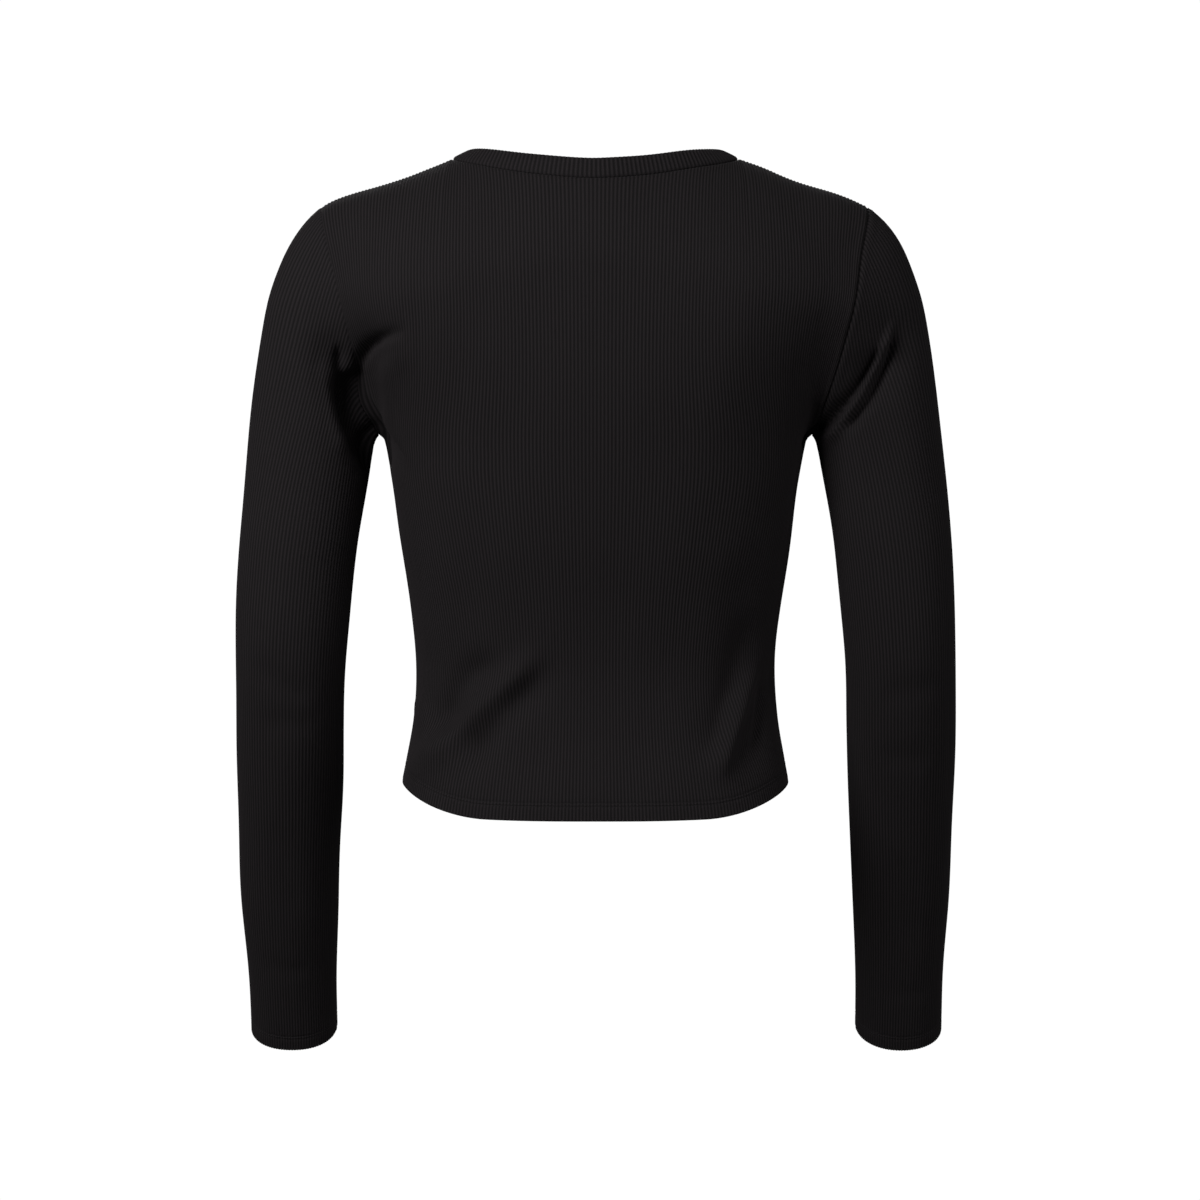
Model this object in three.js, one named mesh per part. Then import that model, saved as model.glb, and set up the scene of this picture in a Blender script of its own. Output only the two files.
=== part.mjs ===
// A fitted, long-sleeved crop top in black rib knit, filled out as it is when worn and open at the
// neck, the hem and both cuffs. It is sewn from a back, a front, two set-in sleeves and a neck band.
//
// Units are millimetres and +Z is up. The wearer faces -Y, so the wearer's left is +X. The origin lies
// on the centre plane, between the two shoulder seams, where the wearer's shoulders carry the top.

import * as THREE from "three";

// Driving sizes of the cloth and the seams.
const CLOTH = 1.5; // one layer of rib knit
const TURNED_CLOTH = 2.6; // the two layers of a turned-up hem, pressed by its stitches
const SEAM_GAP = 0.3; // space left between two pieces that are sewn together
const HEM_DEPTH = 11;
const CUFF_DEPTH = 12;
const HEM_STEP = 1.6; // height over which a hem's second layer ends

// Driving sizes of the cut.
const HEM_SIDE_Z = -425;
const HEM_BACK_DROP = 11; // how far the hem falls from the side seam to the centre back
const HEM_FRONT_DROP = 8;
const HEM_TURN = [0.14, 0.56]; // where the fall begins and ends, as shares of the way to the centre
const NECK_HALF_WIDTH = 99;
const BACK_NECK_DROP = 12;
const BACK_NECK_POWER = 1.6;
const FRONT_NECK_DROP = 95;
const FRONT_NECK_POWER = 2.3;
const BAND_HEIGHT = 14;
// How far the band turns up from the cloth below it, as a share of its height.
const BAND_LIFT = { side: 0.12, back: 1, front: 0.25 };
const CUFF_Z = -631.5; // height of the cuff's centre

// Driving sizes of the shoulders, which close the level rings below at the top.
const SHOULDER_Z = 14;
const SHOULDER_SLOPE = 0.34;
const SHOULDER_DOME = 90;
const NECK_ROUNDING = 40;
const ARM_TOP_Z = -19;
const ARM_DOME = 70;
const ARM_POWER = 2.1;

// Depth of the body and of the arm, which turn a share of a ring's size into millimetres.
const BODY_SCALE = 90;
const ARM_SCALE = 44;

// Level rings of the body. halfWidth reaches to the side seam, back and front lie behind and before it,
// a power of 2 makes a ring an ellipse and more makes it squarer, and web fills the armpit.
const BODY = table(["z", "halfWidth", "back", "front", "widthPower", "depthPower", "web"], [
  [-480, 148, 106, 106, 2.8, 2.8, 8],
  [-440, 140.5, 100, 101, 2.8, 2.8, 8],
  [-415, 135.5, 95, 98, 2.7, 2.7, 8],
  [-380, 129.5, 84, 93, 2.5, 2.5, 8],
  [-340, 127.4, 78, 91, 2.3, 2.3, 8],
  [-300, 130.7, 81, 98, 2.3, 2.3, 8],
  [-250, 138.2, 89, 114, 2.3, 2.3, 8],
  [-210, 143.3, 94, 122, 2.3, 2.3, 8],
  [-175, 150, 97, 119, 2.3, 2.2, 12],
  [-140, 162, 98, 112, 2.6, 2.1, 22],
  [-100, 184, 96, 101, 3.2, 2.0, 26],
  [-60, 206, 91, 88, 4.0, 1.85, 24],
  [-20, 218, 85, 75, 5.0, 1.7, 32],
  [20, 224, 80, 64, 5.0, 1.7, 32],
  [60, 224, 76, 58, 5.0, 1.7, 32],
]);

// Level rings of an arm, given for the wearer's left. The forearm leans forward from the elbow.
const ARM = table(["z", "x", "y", "halfWidth", "halfDepth"], [
  [-700, 229, -102, 31.5, 34.5],
  [-640, 227, -84, 31.8, 35],
  [-590, 226, -69, 32.4, 35.5],
  [-520, 224.2, -47, 34.9, 37.5],
  [-450, 221.3, -25, 37.5, 40],
  [-390, 218.8, -6, 38.3, 41],
  [-330, 216, 7, 39, 42],
  [-260, 210, 9, 41.1, 43.5],
  [-200, 202.5, 3, 43.2, 45.5],
  [-150, 195.5, 1, 44.5, 47],
  [-100, 186.5, 0, 45, 48],
  [-60, 178.5, 0, 45, 47],
  [0, 174, 0, 44, 46],
]);

// The armhole seam seen from behind and from the front: how far out it lies at each height.
const ARMHOLE = table(["z", "backX", "frontX"], [
  [-200, 150, 150],
  [-178, 152.5, 152],
  [-160, 158, 158],
  [-135, 164, 163],
  [-100, 170.5, 169],
  [-60, 180, 179],
  [-17, 191, 191],
  [20, 194, 194],
]);
const ARMHOLE_CENTRE_Z = -100;

// The largest folds, seen from behind or from the front. Each runs from its first point to its last and
// is drawn towards the one between. It is width wide to each side, and rises by height, or sinks where
// height is negative. face is 1 behind, -1 in front.
const FOLDS = table(["face", "x0", "z0", "x1", "z1", "x2", "z2", "width", "height"], [
  [1, 188, -96, 180, -146, 156, -178, 13, -7],
  [1, 138, -102, 168, -120, 156, -172, 12, -5],
  [1, -196, -108, -184, -144, -158, -176, 12, -5],
  [1, -214, -84, -208, -132, -180, -158, 12, -4],
  [1, 112, -418, 78, -392, 44, -350, 15, 4],
  [1, 106, -352, 94, -390, 66, -396, 15, -4],
  [1, -122, -326, -110, -376, -100, -414, 14, -5],
  [1, -98, -346, -92, -388, -82, -416, 13, 3],
  [-1, 184, -96, 172, -140, 156, -176, 12, -6],
  [-1, 134, -112, 160, -126, 154, -172, 12, -4],
  [-1, -186, -92, -174, -138, -157, -175, 12, -6],
  [-1, -136, -108, -158, -128, -154, -172, 12, -4],
  [-1, 182, -336, 214, -348, 246, -336, 14, -5],
  [-1, 182, -376, 214, -384, 246, -374, 13, -3.5],
  [-1, -182, -340, -214, -352, -246, -342, 14, -5],
  [-1, -182, -380, -214, -388, -246, -380, 13, -3],
  [-1, -114, -404, -84, -372, -56, -338, 15, -4],
  [-1, 116, -406, 88, -380, 54, -352, 15, -4],
]);
const FOLD_STEPS = 10;
const FOLD_FADE = [4, 24]; // how far behind or before the middle a fold begins, and is whole
const ARMS_OUTSIDE_X = 150; // beyond this, the middle is the arm's own

// How finely the pieces are drawn.
const PANEL_COLUMNS = 32;
const CORNER_COLUMN = 6; // the column that runs into the neck end of the shoulder seam
const NECK_QUARTER = PANEL_COLUMNS / 2 - CORNER_COLUMN; // columns across half of the back or front neck
const PANEL_SIDE_ROWS = 13;
const PANEL_ARMHOLE_ROWS = 13; // half of SLEEVE_COLUMNS, so that the armhole seams meet point by point
const UNDERARM_SHARE = 0.5; // share of a panel's rows that lie below the underarm
const SLEEVE_COLUMNS = 26;
const SLEEVE_CAP_ROWS = 11;
const SLEEVE_ARM_ROWS = 18;
const BICEP_Z = -222;
const ARMHOLE_RISE = 0.6; // how much an armhole's upright stretches count when its points are spread
const RELAXING = 8; // rounds that even out a stretched grid
const FINE = 4; // measuring points for each drawn one along a seam or a row

// Short maths helpers.

function table(columns, rows) {
  return rows.map((row) => Object.fromEntries(columns.map((name, i) => [name, row[i]])));
}

const clamp = (value, low, high) => Math.min(high, Math.max(low, value));
const mix = (a, b, share) => a + (b - a) * share;
const vec = (x, y, z) => new THREE.Vector3(x, y, z);

function smoothStep(low, high, value) {
  const share = clamp((value - low) / (high - low), 0, 1);
  return share * share * (3 - 2 * share);
}

// Reads every column of a table at height z, on a smooth curve through its rows.
function read(rows, z) {
  const last = rows.length - 1;
  const at = clamp(z, Math.min(rows[0].z, rows[last].z), Math.max(rows[0].z, rows[last].z));
  const up = rows[last].z > rows[0].z ? 1 : -1;
  let i = 0;
  while (i < last - 1 && (rows[i + 1].z - at) * up < 0) i += 1;
  const before = rows[Math.max(i - 1, 0)];
  const [from, to] = [rows[i], rows[i + 1]];
  const after = rows[Math.min(i + 2, last)];
  const span = to.z - from.z;
  const s = (at - from.z) / span;
  const found = {};
  for (const name of Object.keys(from)) {
    const slopeFrom = (to[name] - before[name]) / (to.z - before.z);
    const slopeTo = (after[name] - from[name]) / (after.z - from.z);
    found[name] =
      from[name] * (2 * s ** 3 - 3 * s ** 2 + 1) +
      to[name] * (3 * s ** 2 - 2 * s ** 3) +
      slopeFrom * span * (s ** 3 - 2 * s ** 2 + s) +
      slopeTo * span * (s ** 3 - s ** 2);
  }
  return found;
}

// The worn form. A level is below 0 inside the cloth's outer face, 0 on it and above 0 outside.

function bodyLevel(x, y, z) {
  const ring = read(BODY, z);
  const depth = y > 0 ? ring.back : ring.front;
  const run = Math.hypot(x, NECK_ROUNDING) - Math.hypot(NECK_HALF_WIDTH, NECK_ROUNDING);
  const ridge = SHOULDER_Z - SHOULDER_SLOPE * run;
  const close = Math.max(0, 1 - (ridge - z) / SHOULDER_DOME);
  const sum =
    (Math.abs(x) / ring.halfWidth) ** ring.widthPower +
    (Math.abs(y) / depth) ** ring.depthPower +
    close ** ring.depthPower;
  return (sum ** (1 / ring.depthPower) - 1) * BODY_SCALE;
}

function armLevel(x, y, z) {
  const ring = read(ARM, z);
  const across = Math.abs(Math.abs(x) - ring.x) / ring.halfWidth;
  const along = Math.abs(y - ring.y) / ring.halfDepth;
  const close = Math.max(0, 1 - (ARM_TOP_Z - z) / ARM_DOME);
  const sum = across ** ARM_POWER + along ** ARM_POWER + close ** ARM_POWER;
  return (sum ** (1 / ARM_POWER) - 1) * ARM_SCALE;
}

function formLevel(p) {
  const body = bodyLevel(p.x, p.y, p.z);
  const arm = armLevel(p.x, p.y, p.z);
  const { web } = read(BODY, p.z);
  const near = Math.max(web - Math.abs(body - arm), 0) / web;
  return Math.min(body, arm) - (near * near * web) / 4;
}

function slope(p) {
  const h = 0.5;
  return vec(
    formLevel(vec(p.x + h, p.y, p.z)) - formLevel(vec(p.x - h, p.y, p.z)),
    formLevel(vec(p.x, p.y + h, p.z)) - formLevel(vec(p.x, p.y - h, p.z)),
    formLevel(vec(p.x, p.y, p.z + h)) - formLevel(vec(p.x, p.y, p.z - h)),
  ).divideScalar(2 * h);
}

const outward = (p) => slope(p).normalize();

// Moves a point that is near the form straight onto it.
function settle(p) {
  const q = p.clone();
  for (let i = 0; i < 8; i += 1) {
    const s = slope(q);
    q.addScaledVector(s, -formLevel(q) / s.lengthSq());
  }
  return q;
}

// The point where the way from an inner point meets the form.
function reach(inner, direction, limit = 400) {
  let near = 0;
  let far = 4;
  const at = (t) => inner.clone().addScaledVector(direction, t);
  while (far < limit && formLevel(at(far)) < 0) {
    near = far;
    far += 4;
  }
  for (let i = 0; i < 30; i += 1) {
    const middle = (near + far) / 2;
    if (formLevel(at(middle)) < 0) near = middle;
    else far = middle;
  }
  return at(far);
}

// Folds of the cloth, laid on the form.

function foldHeight(p) {
  const middle = Math.abs(p.x) > ARMS_OUTSIDE_X ? read(ARM, p.z).y : 0;
  let total = 0;
  for (const fold of FOLDS) {
    const facing = smoothStep(...FOLD_FADE, fold.face * (p.y - middle));
    if (facing === 0) continue;
    let nearest = Infinity;
    let share = 0;
    let [x0, z0] = [fold.x0, fold.z0];
    for (let i = 1; i <= FOLD_STEPS; i += 1) {
      const u = i / FOLD_STEPS;
      const [a, b, c] = [(1 - u) ** 2, 2 * u * (1 - u), u * u];
      const x1 = a * fold.x0 + b * fold.x1 + c * fold.x2;
      const z1 = a * fold.z0 + b * fold.z1 + c * fold.z2;
      const along = ((p.x - x0) * (x1 - x0) + (p.z - z0) * (z1 - z0)) / ((x1 - x0) ** 2 + (z1 - z0) ** 2);
      const t = clamp(along, 0, 1);
      const away = Math.hypot(p.x - mix(x0, x1, t), p.z - mix(z0, z1, t));
      if (away < nearest) {
        nearest = away;
        share = (i - 1 + t) / FOLD_STEPS;
      }
      [x0, z0] = [x1, z1];
    }
    const ends = smoothStep(0, 0.35, share) * smoothStep(1, 0.7, share);
    total += fold.height * facing * ends * Math.exp(-((nearest / fold.width) ** 2));
  }
  return total;
}

// Seams of the cut, each as a list of points on the form.

// Spreads count + 1 points evenly along a line of points. A rise below 1 makes upright stretches count
// for less, which leaves fewer points there.
function spread(line, count, rise = 1) {
  const lengths = [0];
  for (let i = 1; i < line.length; i += 1) {
    const step = line[i].clone().sub(line[i - 1]);
    lengths.push(lengths[i - 1] + Math.hypot(step.x, step.y, step.z * rise));
  }
  const whole = lengths[lengths.length - 1];
  const found = [];
  let at = 1;
  for (let i = 0; i <= count; i += 1) {
    const wanted = (whole * i) / count;
    while (at < line.length - 1 && lengths[at] < wanted) at += 1;
    const share = clamp((wanted - lengths[at - 1]) / (lengths[at] - lengths[at - 1]), 0, 1);
    found.push(line[at - 1].clone().lerp(line[at], share));
  }
  return found;
}

function along(count, place) {
  return Array.from({ length: count + 1 }, (_, i) => place(i / count));
}

// Half of an armhole of the wearer's left side, from the underarm up to the shoulder seam. inset moves
// it towards the body, and face says whether it is the back or the front half.
function armhole(face, inset, count) {
  const fine = along(count * FINE, (share) => {
    const turn = Math.PI * (1 - share);
    const outAt = (z) => read(ARMHOLE, z)[face > 0 ? "backX" : "frontX"] - inset;
    let z = ARMHOLE_CENTRE_Z;
    let found;
    for (let i = 0; i < 14; i += 1) {
      const inner = vec(outAt(z), 0, ARMHOLE_CENTRE_Z);
      found = reach(inner, vec(0, face * Math.sin(turn), Math.cos(turn)));
      z = mix(z, found.z, 0.5);
    }
    return found;
  });
  return spread(fine, count, ARMHOLE_RISE);
}

// The side seam of the wearer's left side, from the hem up to the underarm.
function sideSeam(top, count) {
  return along(count, (share) => {
    const z = mix(HEM_SIDE_Z, top.z, share);
    return share === 1 ? top : reach(vec(0, top.y, z), vec(1, 0, 0));
  });
}

function ridgePoint(x, y) {
  return reach(vec(x, y, ARMHOLE_CENTRE_Z), vec(0, 0, 1));
}

// The shoulder seam of the wearer's left side, from the neck out to the armhole.
function shoulderSeam(face, outerEnd, count) {
  return along(count, (share) => {
    const x = mix(NECK_HALF_WIDTH, outerEnd.x, share);
    return share === 1 ? outerEnd : ridgePoint(x, (face * SEAM_GAP) / 2);
  });
}

// Half of the neck seam, from the centre to the wearer's left shoulder.
function neckSeam(face, count) {
  const corner = ridgePoint(NECK_HALF_WIDTH, (face * SEAM_GAP) / 2);
  const fine = along(count * FINE, (share) => {
    if (share === 1) return corner;
    if (face > 0) {
      const drop = BACK_NECK_DROP * (1 - share ** BACK_NECK_POWER);
      return reach(vec(NECK_HALF_WIDTH * share, 0, corner.z - drop), vec(0, 1, 0));
    }
    const turn = (Math.PI / 2) * share;
    const x = NECK_HALF_WIDTH * Math.sin(turn) ** (2 / FRONT_NECK_POWER);
    const drop = FRONT_NECK_DROP * Math.cos(turn) ** (2 / FRONT_NECK_POWER);
    return reach(vec(x, 0, corner.z - drop), vec(0, -1, 0));
  });
  return spread(fine, count);
}

// Half of a hem, from the side seam round to the centre.
function hemLine(face, start, count) {
  const fine = along(count * FINE, (share) => {
    if (share === 0) return start;
    const turn = (Math.PI / 2) * share;
    const drop = (face > 0 ? HEM_BACK_DROP : HEM_FRONT_DROP) * smoothStep(...HEM_TURN, share);
    const direction = vec(Math.cos(turn), face * Math.sin(turn), 0);
    return reach(vec(0, start.y, HEM_SIDE_Z - drop), direction);
  });
  return spread(fine, count);
}

const mirrored = (points) => points.map((p) => vec(-p.x, p.y, p.z));

// Walls of cloth.

// Closes a wall between an outer and an inner grid of points. Rows run up and columns run round the
// piece, anticlockwise from above. A tube joins its last column to its first.
function wallGeometry(outer, inner, tube) {
  const rows = outer.length;
  const columns = outer[0].length;
  const count = rows * columns;
  const positions = [...outer.flat(), ...inner.flat()].flatMap((p) => [p.x, p.y, p.z]);
  const faces = [];
  const id = (side, i, j) => side * count + i * columns + (j % columns);
  const place = (n) => vec(positions[3 * n], positions[3 * n + 1], positions[3 * n + 2]);
  const quad = (a, b, c, d, turned = false) =>
    turned ? faces.push(a, b, d, b, c, d) : faces.push(a, b, c, a, c, d);
  const spans = tube ? columns : columns - 1;
  for (let j = 0; j < spans; j += 1) {
    for (let i = 0; i < rows - 1; i += 1) {
      const [a, b, c, d] = [id(0, i, j), id(0, i, j + 1), id(0, i + 1, j + 1), id(0, i + 1, j)];
      const turned = place(a).distanceTo(place(c)) > place(b).distanceTo(place(d));
      quad(a, b, c, d, turned);
      quad(a + count, d + count, c + count, b + count, turned);
    }
    quad(id(0, 0, j), id(1, 0, j), id(1, 0, j + 1), id(0, 0, j + 1));
    quad(id(0, rows - 1, j), id(0, rows - 1, j + 1), id(1, rows - 1, j + 1), id(1, rows - 1, j));
  }
  for (let i = 0; !tube && i < rows - 1; i += 1) {
    quad(id(0, i, 0), id(0, i + 1, 0), id(1, i + 1, 0), id(1, i, 0));
    quad(id(0, i, spans), id(1, i, spans), id(1, i + 1, spans), id(0, i + 1, spans));
  }
  const geometry = new THREE.BufferGeometry();
  geometry.setAttribute("position", new THREE.Float32BufferAttribute(positions, 3));
  geometry.setIndex(faces);
  geometry.computeVertexNormals();
  return geometry;
}

// Lays the folds on a grid of points of the form and gives it the thickness of each row.
function clothWall(grid, thickness, tube) {
  const outer = [];
  const inner = [];
  grid.forEach((row, i) => {
    const normals = row.map(outward);
    const folded = row.map((p, j) => p.clone().addScaledVector(normals[j], foldHeight(p)));
    outer.push(folded);
    inner.push(folded.map((p, j) => p.clone().addScaledVector(normals[j], -thickness[i])));
  });
  return wallGeometry(outer, inner, tube);
}

// Rows of a piece as shares of its height: the hem's edge, both ends of its second layer, then even
// rows to each stated level in turn.
function rowShares(hemShare, stepShare, levels) {
  const shares = [0, hemShare, hemShare + stepShare];
  for (const { to, rows } of levels) {
    const from = shares[shares.length - 1];
    for (let i = 1; i <= rows; i += 1) shares.push(mix(from, to, i / rows));
  }
  return shares;
}

const hemThickness = (shares) => shares.map((_, i) => (i < 2 ? TURNED_CLOTH : CLOTH));

// A point of a line of points, by its share of the line's count.
function pick(line, share) {
  const at = clamp(share, 0, 1) * (line.length - 1);
  const i = Math.min(Math.floor(at), line.length - 2);
  return line[i].clone().lerp(line[i + 1], at - i);
}

// Evens out a grid of points that lie on the form, as a stretched net would. Its edges stay where they
// are, and so does its stated number of lowest rows.
function relax(grid, fixedRows, tube) {
  let net = grid;
  for (let round = 0; round < RELAXING; round += 1) {
    net = net.map((row, i) =>
      row.map((p, j) => {
        const onSide = !tube && (j === 0 || j === row.length - 1);
        if (i < fixedRows || i === net.length - 1 || onSide) return p;
        const beside = row.at(j - 1).clone().add(row[(j + 1) % row.length]);
        return settle(beside.add(net[i - 1][j]).add(net[i + 1][j]).divideScalar(4));
      }),
    );
  }
  return net;
}

// The back or the front, from side seam to side seam. Its rows are stretched between its four edges,
// settled on the form and evened out, so that its columns run as the ribs of the cloth do.
function panelGeometry(face) {
  const fine = 2 * PANEL_ARMHOLE_ROWS;
  const arm = armhole(face, SEAM_GAP / 2, fine);
  arm[0].y = (face * SEAM_GAP) / 2;
  arm[fine].y = (face * SEAM_GAP) / 2;
  const side = sideSeam(arm[0], fine);
  const hem = hemLine(face, side[0], fine);
  const neck = neckSeam(face, 2 * NECK_QUARTER);
  const shoulder = shoulderSeam(face, arm[fine], fine);

  const corner = CORNER_COLUMN / PANEL_COLUMNS;
  const upSide = (t) =>
    t < UNDERARM_SHARE
      ? pick(side, t / UNDERARM_SHARE)
      : pick(arm, (t - UNDERARM_SHARE) / (1 - UNDERARM_SHARE));
  // The edges along the hem and the top, by the share from the wearer's left side to the right.
  const half = (share, line) => (share <= 0.5 ? line(share) : mirrored([line(1 - share)])[0]);
  const hemEdge = (share) => half(share, (s) => pick(hem, s * 2));
  const topEdge = (share) =>
    half(share, (s) =>
      s < corner ? pick(shoulder, 1 - s / corner) : pick(neck, 1 - (s - corner) / (0.5 - corner)),
    );

  const sideLength = side[0].distanceTo(side[fine]) / UNDERARM_SHARE;
  const shares = rowShares(HEM_DEPTH / sideLength, HEM_STEP / sideLength, [
    { to: UNDERARM_SHARE, rows: PANEL_SIDE_ROWS },
    { to: 1, rows: PANEL_ARMHOLE_ROWS },
  ]);
  const corners = [hemEdge(0), hemEdge(1), topEdge(0), topEdge(1)];
  const stretched = shares.map((t) => {
    const left = upSide(t);
    const right = mirrored([left])[0];
    const row = along(PANEL_COLUMNS, (s) => {
      const p = hemEdge(s).multiplyScalar(1 - t).addScaledVector(topEdge(s), t);
      p.addScaledVector(left, 1 - s).addScaledVector(right, s);
      p.addScaledVector(corners[0], -(1 - s) * (1 - t)).addScaledVector(corners[1], -s * (1 - t));
      p.addScaledVector(corners[2], -(1 - s) * t).addScaledVector(corners[3], -s * t);
      return t > 0 && t < 1 && s > 0 && s < 1 ? settle(p) : p;
    });
    return face > 0 ? row : row.reverse();
  });
  return clothWall(relax(stretched, 3, false), hemThickness(shares), false);
}

// A ring of an arm in the plane across its length, starting at the sleeve's own seam under the arm and
// passing behind it.
function armRing(z, count) {
  const ring = read(ARM, z);
  const [above, below] = [read(ARM, z + 20), read(ARM, z - 20)];
  const tilt = smoothStep(BICEP_Z, BICEP_Z - 120, z);
  const axis = vec((above.x - below.x) * tilt, (above.y - below.y) * tilt, 40).normalize();
  const across = vec(1, 0, 0).addScaledVector(axis, -axis.x).normalize();
  const back = axis.clone().cross(across);
  const centre = vec(ring.x, ring.y, z);
  const fine = along(count * FINE, (share) => {
    const turn = -2 * Math.PI * share;
    const direction = across.clone().multiplyScalar(-Math.cos(turn)).addScaledVector(back, -Math.sin(turn));
    return reach(centre, direction.normalize());
  });
  return spread(fine, count).slice(0, count);
}

// A sleeve for the wearer's left (side 1) or right (side -1), from the cuff up to the armhole seam.
function sleeveGeometry(side) {
  const count = SLEEVE_COLUMNS;
  const half = count / 2;
  const [backHalf, frontHalf] = [1, -1].map((face) =>
    armhole(face, -SEAM_GAP / 2, count).filter((_, j) => j % 2 === 0),
  );
  const seam = [...backHalf, ...frontHalf.slice(1, -1).reverse()];
  const bicep = armRing(BICEP_Z, count);
  const length = BICEP_Z - CUFF_Z;
  const shares = rowShares(CUFF_DEPTH / length, HEM_STEP / length, [{ to: 1, rows: SLEEVE_ARM_ROWS }]);
  const lower = shares.map((t) => armRing(mix(CUFF_Z, BICEP_Z, t), count));
  const cap = along(SLEEVE_CAP_ROWS, (t) => bicep.map((p, j) => p.clone().lerp(seam[j], t))).slice(1);
  const settled = cap.map((ring, i) => (i < SLEEVE_CAP_ROWS - 1 ? ring.map(settle) : ring));
  const thickness = [...hemThickness(shares), ...cap.map(() => CLOTH)];
  const grid = relax([...lower, ...settled], lower.length - 2, true).map((ring) => {
    const turned = [ring[0], ...ring.slice(1).reverse()];
    return side > 0 ? turned : mirrored(ring);
  });
  return clothWall(grid, thickness, true);
}

// The neck band: a folded strip that stands up from the neck seam, rounded at its folded edge and
// narrow where it is sewn on. Each line gives a height, as a share of the band's, and a half thickness.
const BAND_SECTION = table(["up", "out"], [
  [0, -0.5],
  [0, 0.5],
  [0.14, 1.3],
  [0.5, 1.4],
  [0.88, 1.2],
  [1, 0.35],
  [1, -0.35],
  [0.88, -1.2],
  [0.5, -1.4],
  [0.14, -1.3],
]);

function bandGeometry() {
  const quarter = NECK_QUARTER;
  const count = 4 * quarter;
  const back = neckSeam(1, quarter);
  const front = neckSeam(-1, quarter);
  back[quarter].y = 0;
  const leftToCentre = [...back].reverse();
  const seam = [
    ...leftToCentre.slice(0, -1),
    ...mirrored(back).slice(0, -1),
    ...mirrored([...front].reverse()).slice(0, -1),
    ...front.slice(0, -1),
  ];
  seam[2 * quarter] = mirrored([back[quarter]])[0];
  const columns = seam.map((p, j) => {
    const normal = outward(p);
    const before = seam[(j + count - 1) % count];
    const after = seam[(j + 1) % count];
    const round = after.clone().sub(before).normalize();
    const up = normal.clone().cross(round);
    const central = 1 - (p.x / NECK_HALF_WIDTH) ** 2;
    const lift = mix(BAND_LIFT.side, p.y > 0 ? BAND_LIFT.back : BAND_LIFT.front, central);
    up.add(vec(0, 0, lift)).normalize();
    const out = round.clone().cross(up).normalize();
    const root = p.clone().addScaledVector(normal, -CLOTH / 2).addScaledVector(up, SEAM_GAP * (1 + lift));
    return BAND_SECTION.map((s) =>
      root.clone().addScaledVector(up, s.up * BAND_HEIGHT).addScaledVector(out, s.out),
    );
  });
  const positions = columns.flat().flatMap((p) => [p.x, p.y, p.z]);
  const size = BAND_SECTION.length;
  const faces = [];
  for (let j = 0; j < count; j += 1) {
    for (let k = 0; k < size; k += 1) {
      const [a, b] = [j * size + k, j * size + ((k + 1) % size)];
      const next = ((j + 1) % count) * size;
      const [c, d] = [next + ((k + 1) % size), next + k];
      faces.push(a, d, c, a, c, b);
    }
  }
  const geometry = new THREE.BufferGeometry();
  geometry.setAttribute("position", new THREE.Float32BufferAttribute(positions, 3));
  geometry.setIndex(faces);
  geometry.computeVertexNormals();
  return geometry;
}

// The pieces, in black rib knit.
const ribKnit = () => new THREE.MeshStandardMaterial({ color: 0x1b191a, roughness: 0.92, metalness: 0 });

function piece(name, geometry) {
  const mesh = new THREE.Mesh(geometry, ribKnit());
  mesh.name = name;
  return mesh;
}

const cropTop = new THREE.Group();
cropTop.add(
  piece("back_panel", panelGeometry(1)),
  piece("front_panel", panelGeometry(-1)),
  piece("left_sleeve", sleeveGeometry(1)),
  piece("right_sleeve", sleeveGeometry(-1)),
  piece("neck_band", bandGeometry()),
);

export default cropTop;
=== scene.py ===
import logging
import math
from dataclasses import dataclass, field
from enum import Enum
from typing import Callable, Sequence

import bpy
import numpy as np
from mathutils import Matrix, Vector


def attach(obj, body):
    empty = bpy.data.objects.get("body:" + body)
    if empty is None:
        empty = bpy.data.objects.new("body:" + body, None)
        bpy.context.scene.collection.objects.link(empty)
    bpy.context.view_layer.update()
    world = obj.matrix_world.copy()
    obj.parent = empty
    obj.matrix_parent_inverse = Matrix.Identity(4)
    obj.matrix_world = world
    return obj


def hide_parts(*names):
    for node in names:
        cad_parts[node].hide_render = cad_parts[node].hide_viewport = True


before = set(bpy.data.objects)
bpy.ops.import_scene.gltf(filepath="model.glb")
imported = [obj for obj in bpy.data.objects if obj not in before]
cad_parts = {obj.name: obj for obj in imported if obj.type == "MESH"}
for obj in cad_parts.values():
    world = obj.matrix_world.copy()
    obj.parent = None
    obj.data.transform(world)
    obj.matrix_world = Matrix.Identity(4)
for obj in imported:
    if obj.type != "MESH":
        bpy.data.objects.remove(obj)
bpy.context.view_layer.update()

# A fitted, long-sleeved crop top in black rib knit, filled out as it is when worn. The sizes below are
# in millimetres, in the frame of the part's source: +Z is up, the wearer faces -Y and the wearer's left
# is +X. Meshes are turned to metres as they are made.

LOG = logging.getLogger("crop_top")
Array = np.ndarray
MM = 0.001


class Face(Enum):
    """The side of the wearer that a panel, or half of a round seam, lies on."""

    BACK = 1
    FRONT = -1


class Arm(Enum):
    """The wearer's arm that a sleeve is for."""

    LEFT = 1
    RIGHT = -1


# Short maths helpers.


def smooth_step(low: float, high: float, value: Array) -> Array:
    """Rises smoothly from 0 at low to 1 at high."""
    share = np.clip((value - low) / (high - low), 0, 1)
    return share * share * (3 - 2 * share)


def unit(vectors: Array) -> Array:
    """The same directions at length 1."""
    return vectors / np.maximum(np.linalg.norm(vectors, axis=-1, keepdims=True), 1e-9)


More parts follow.
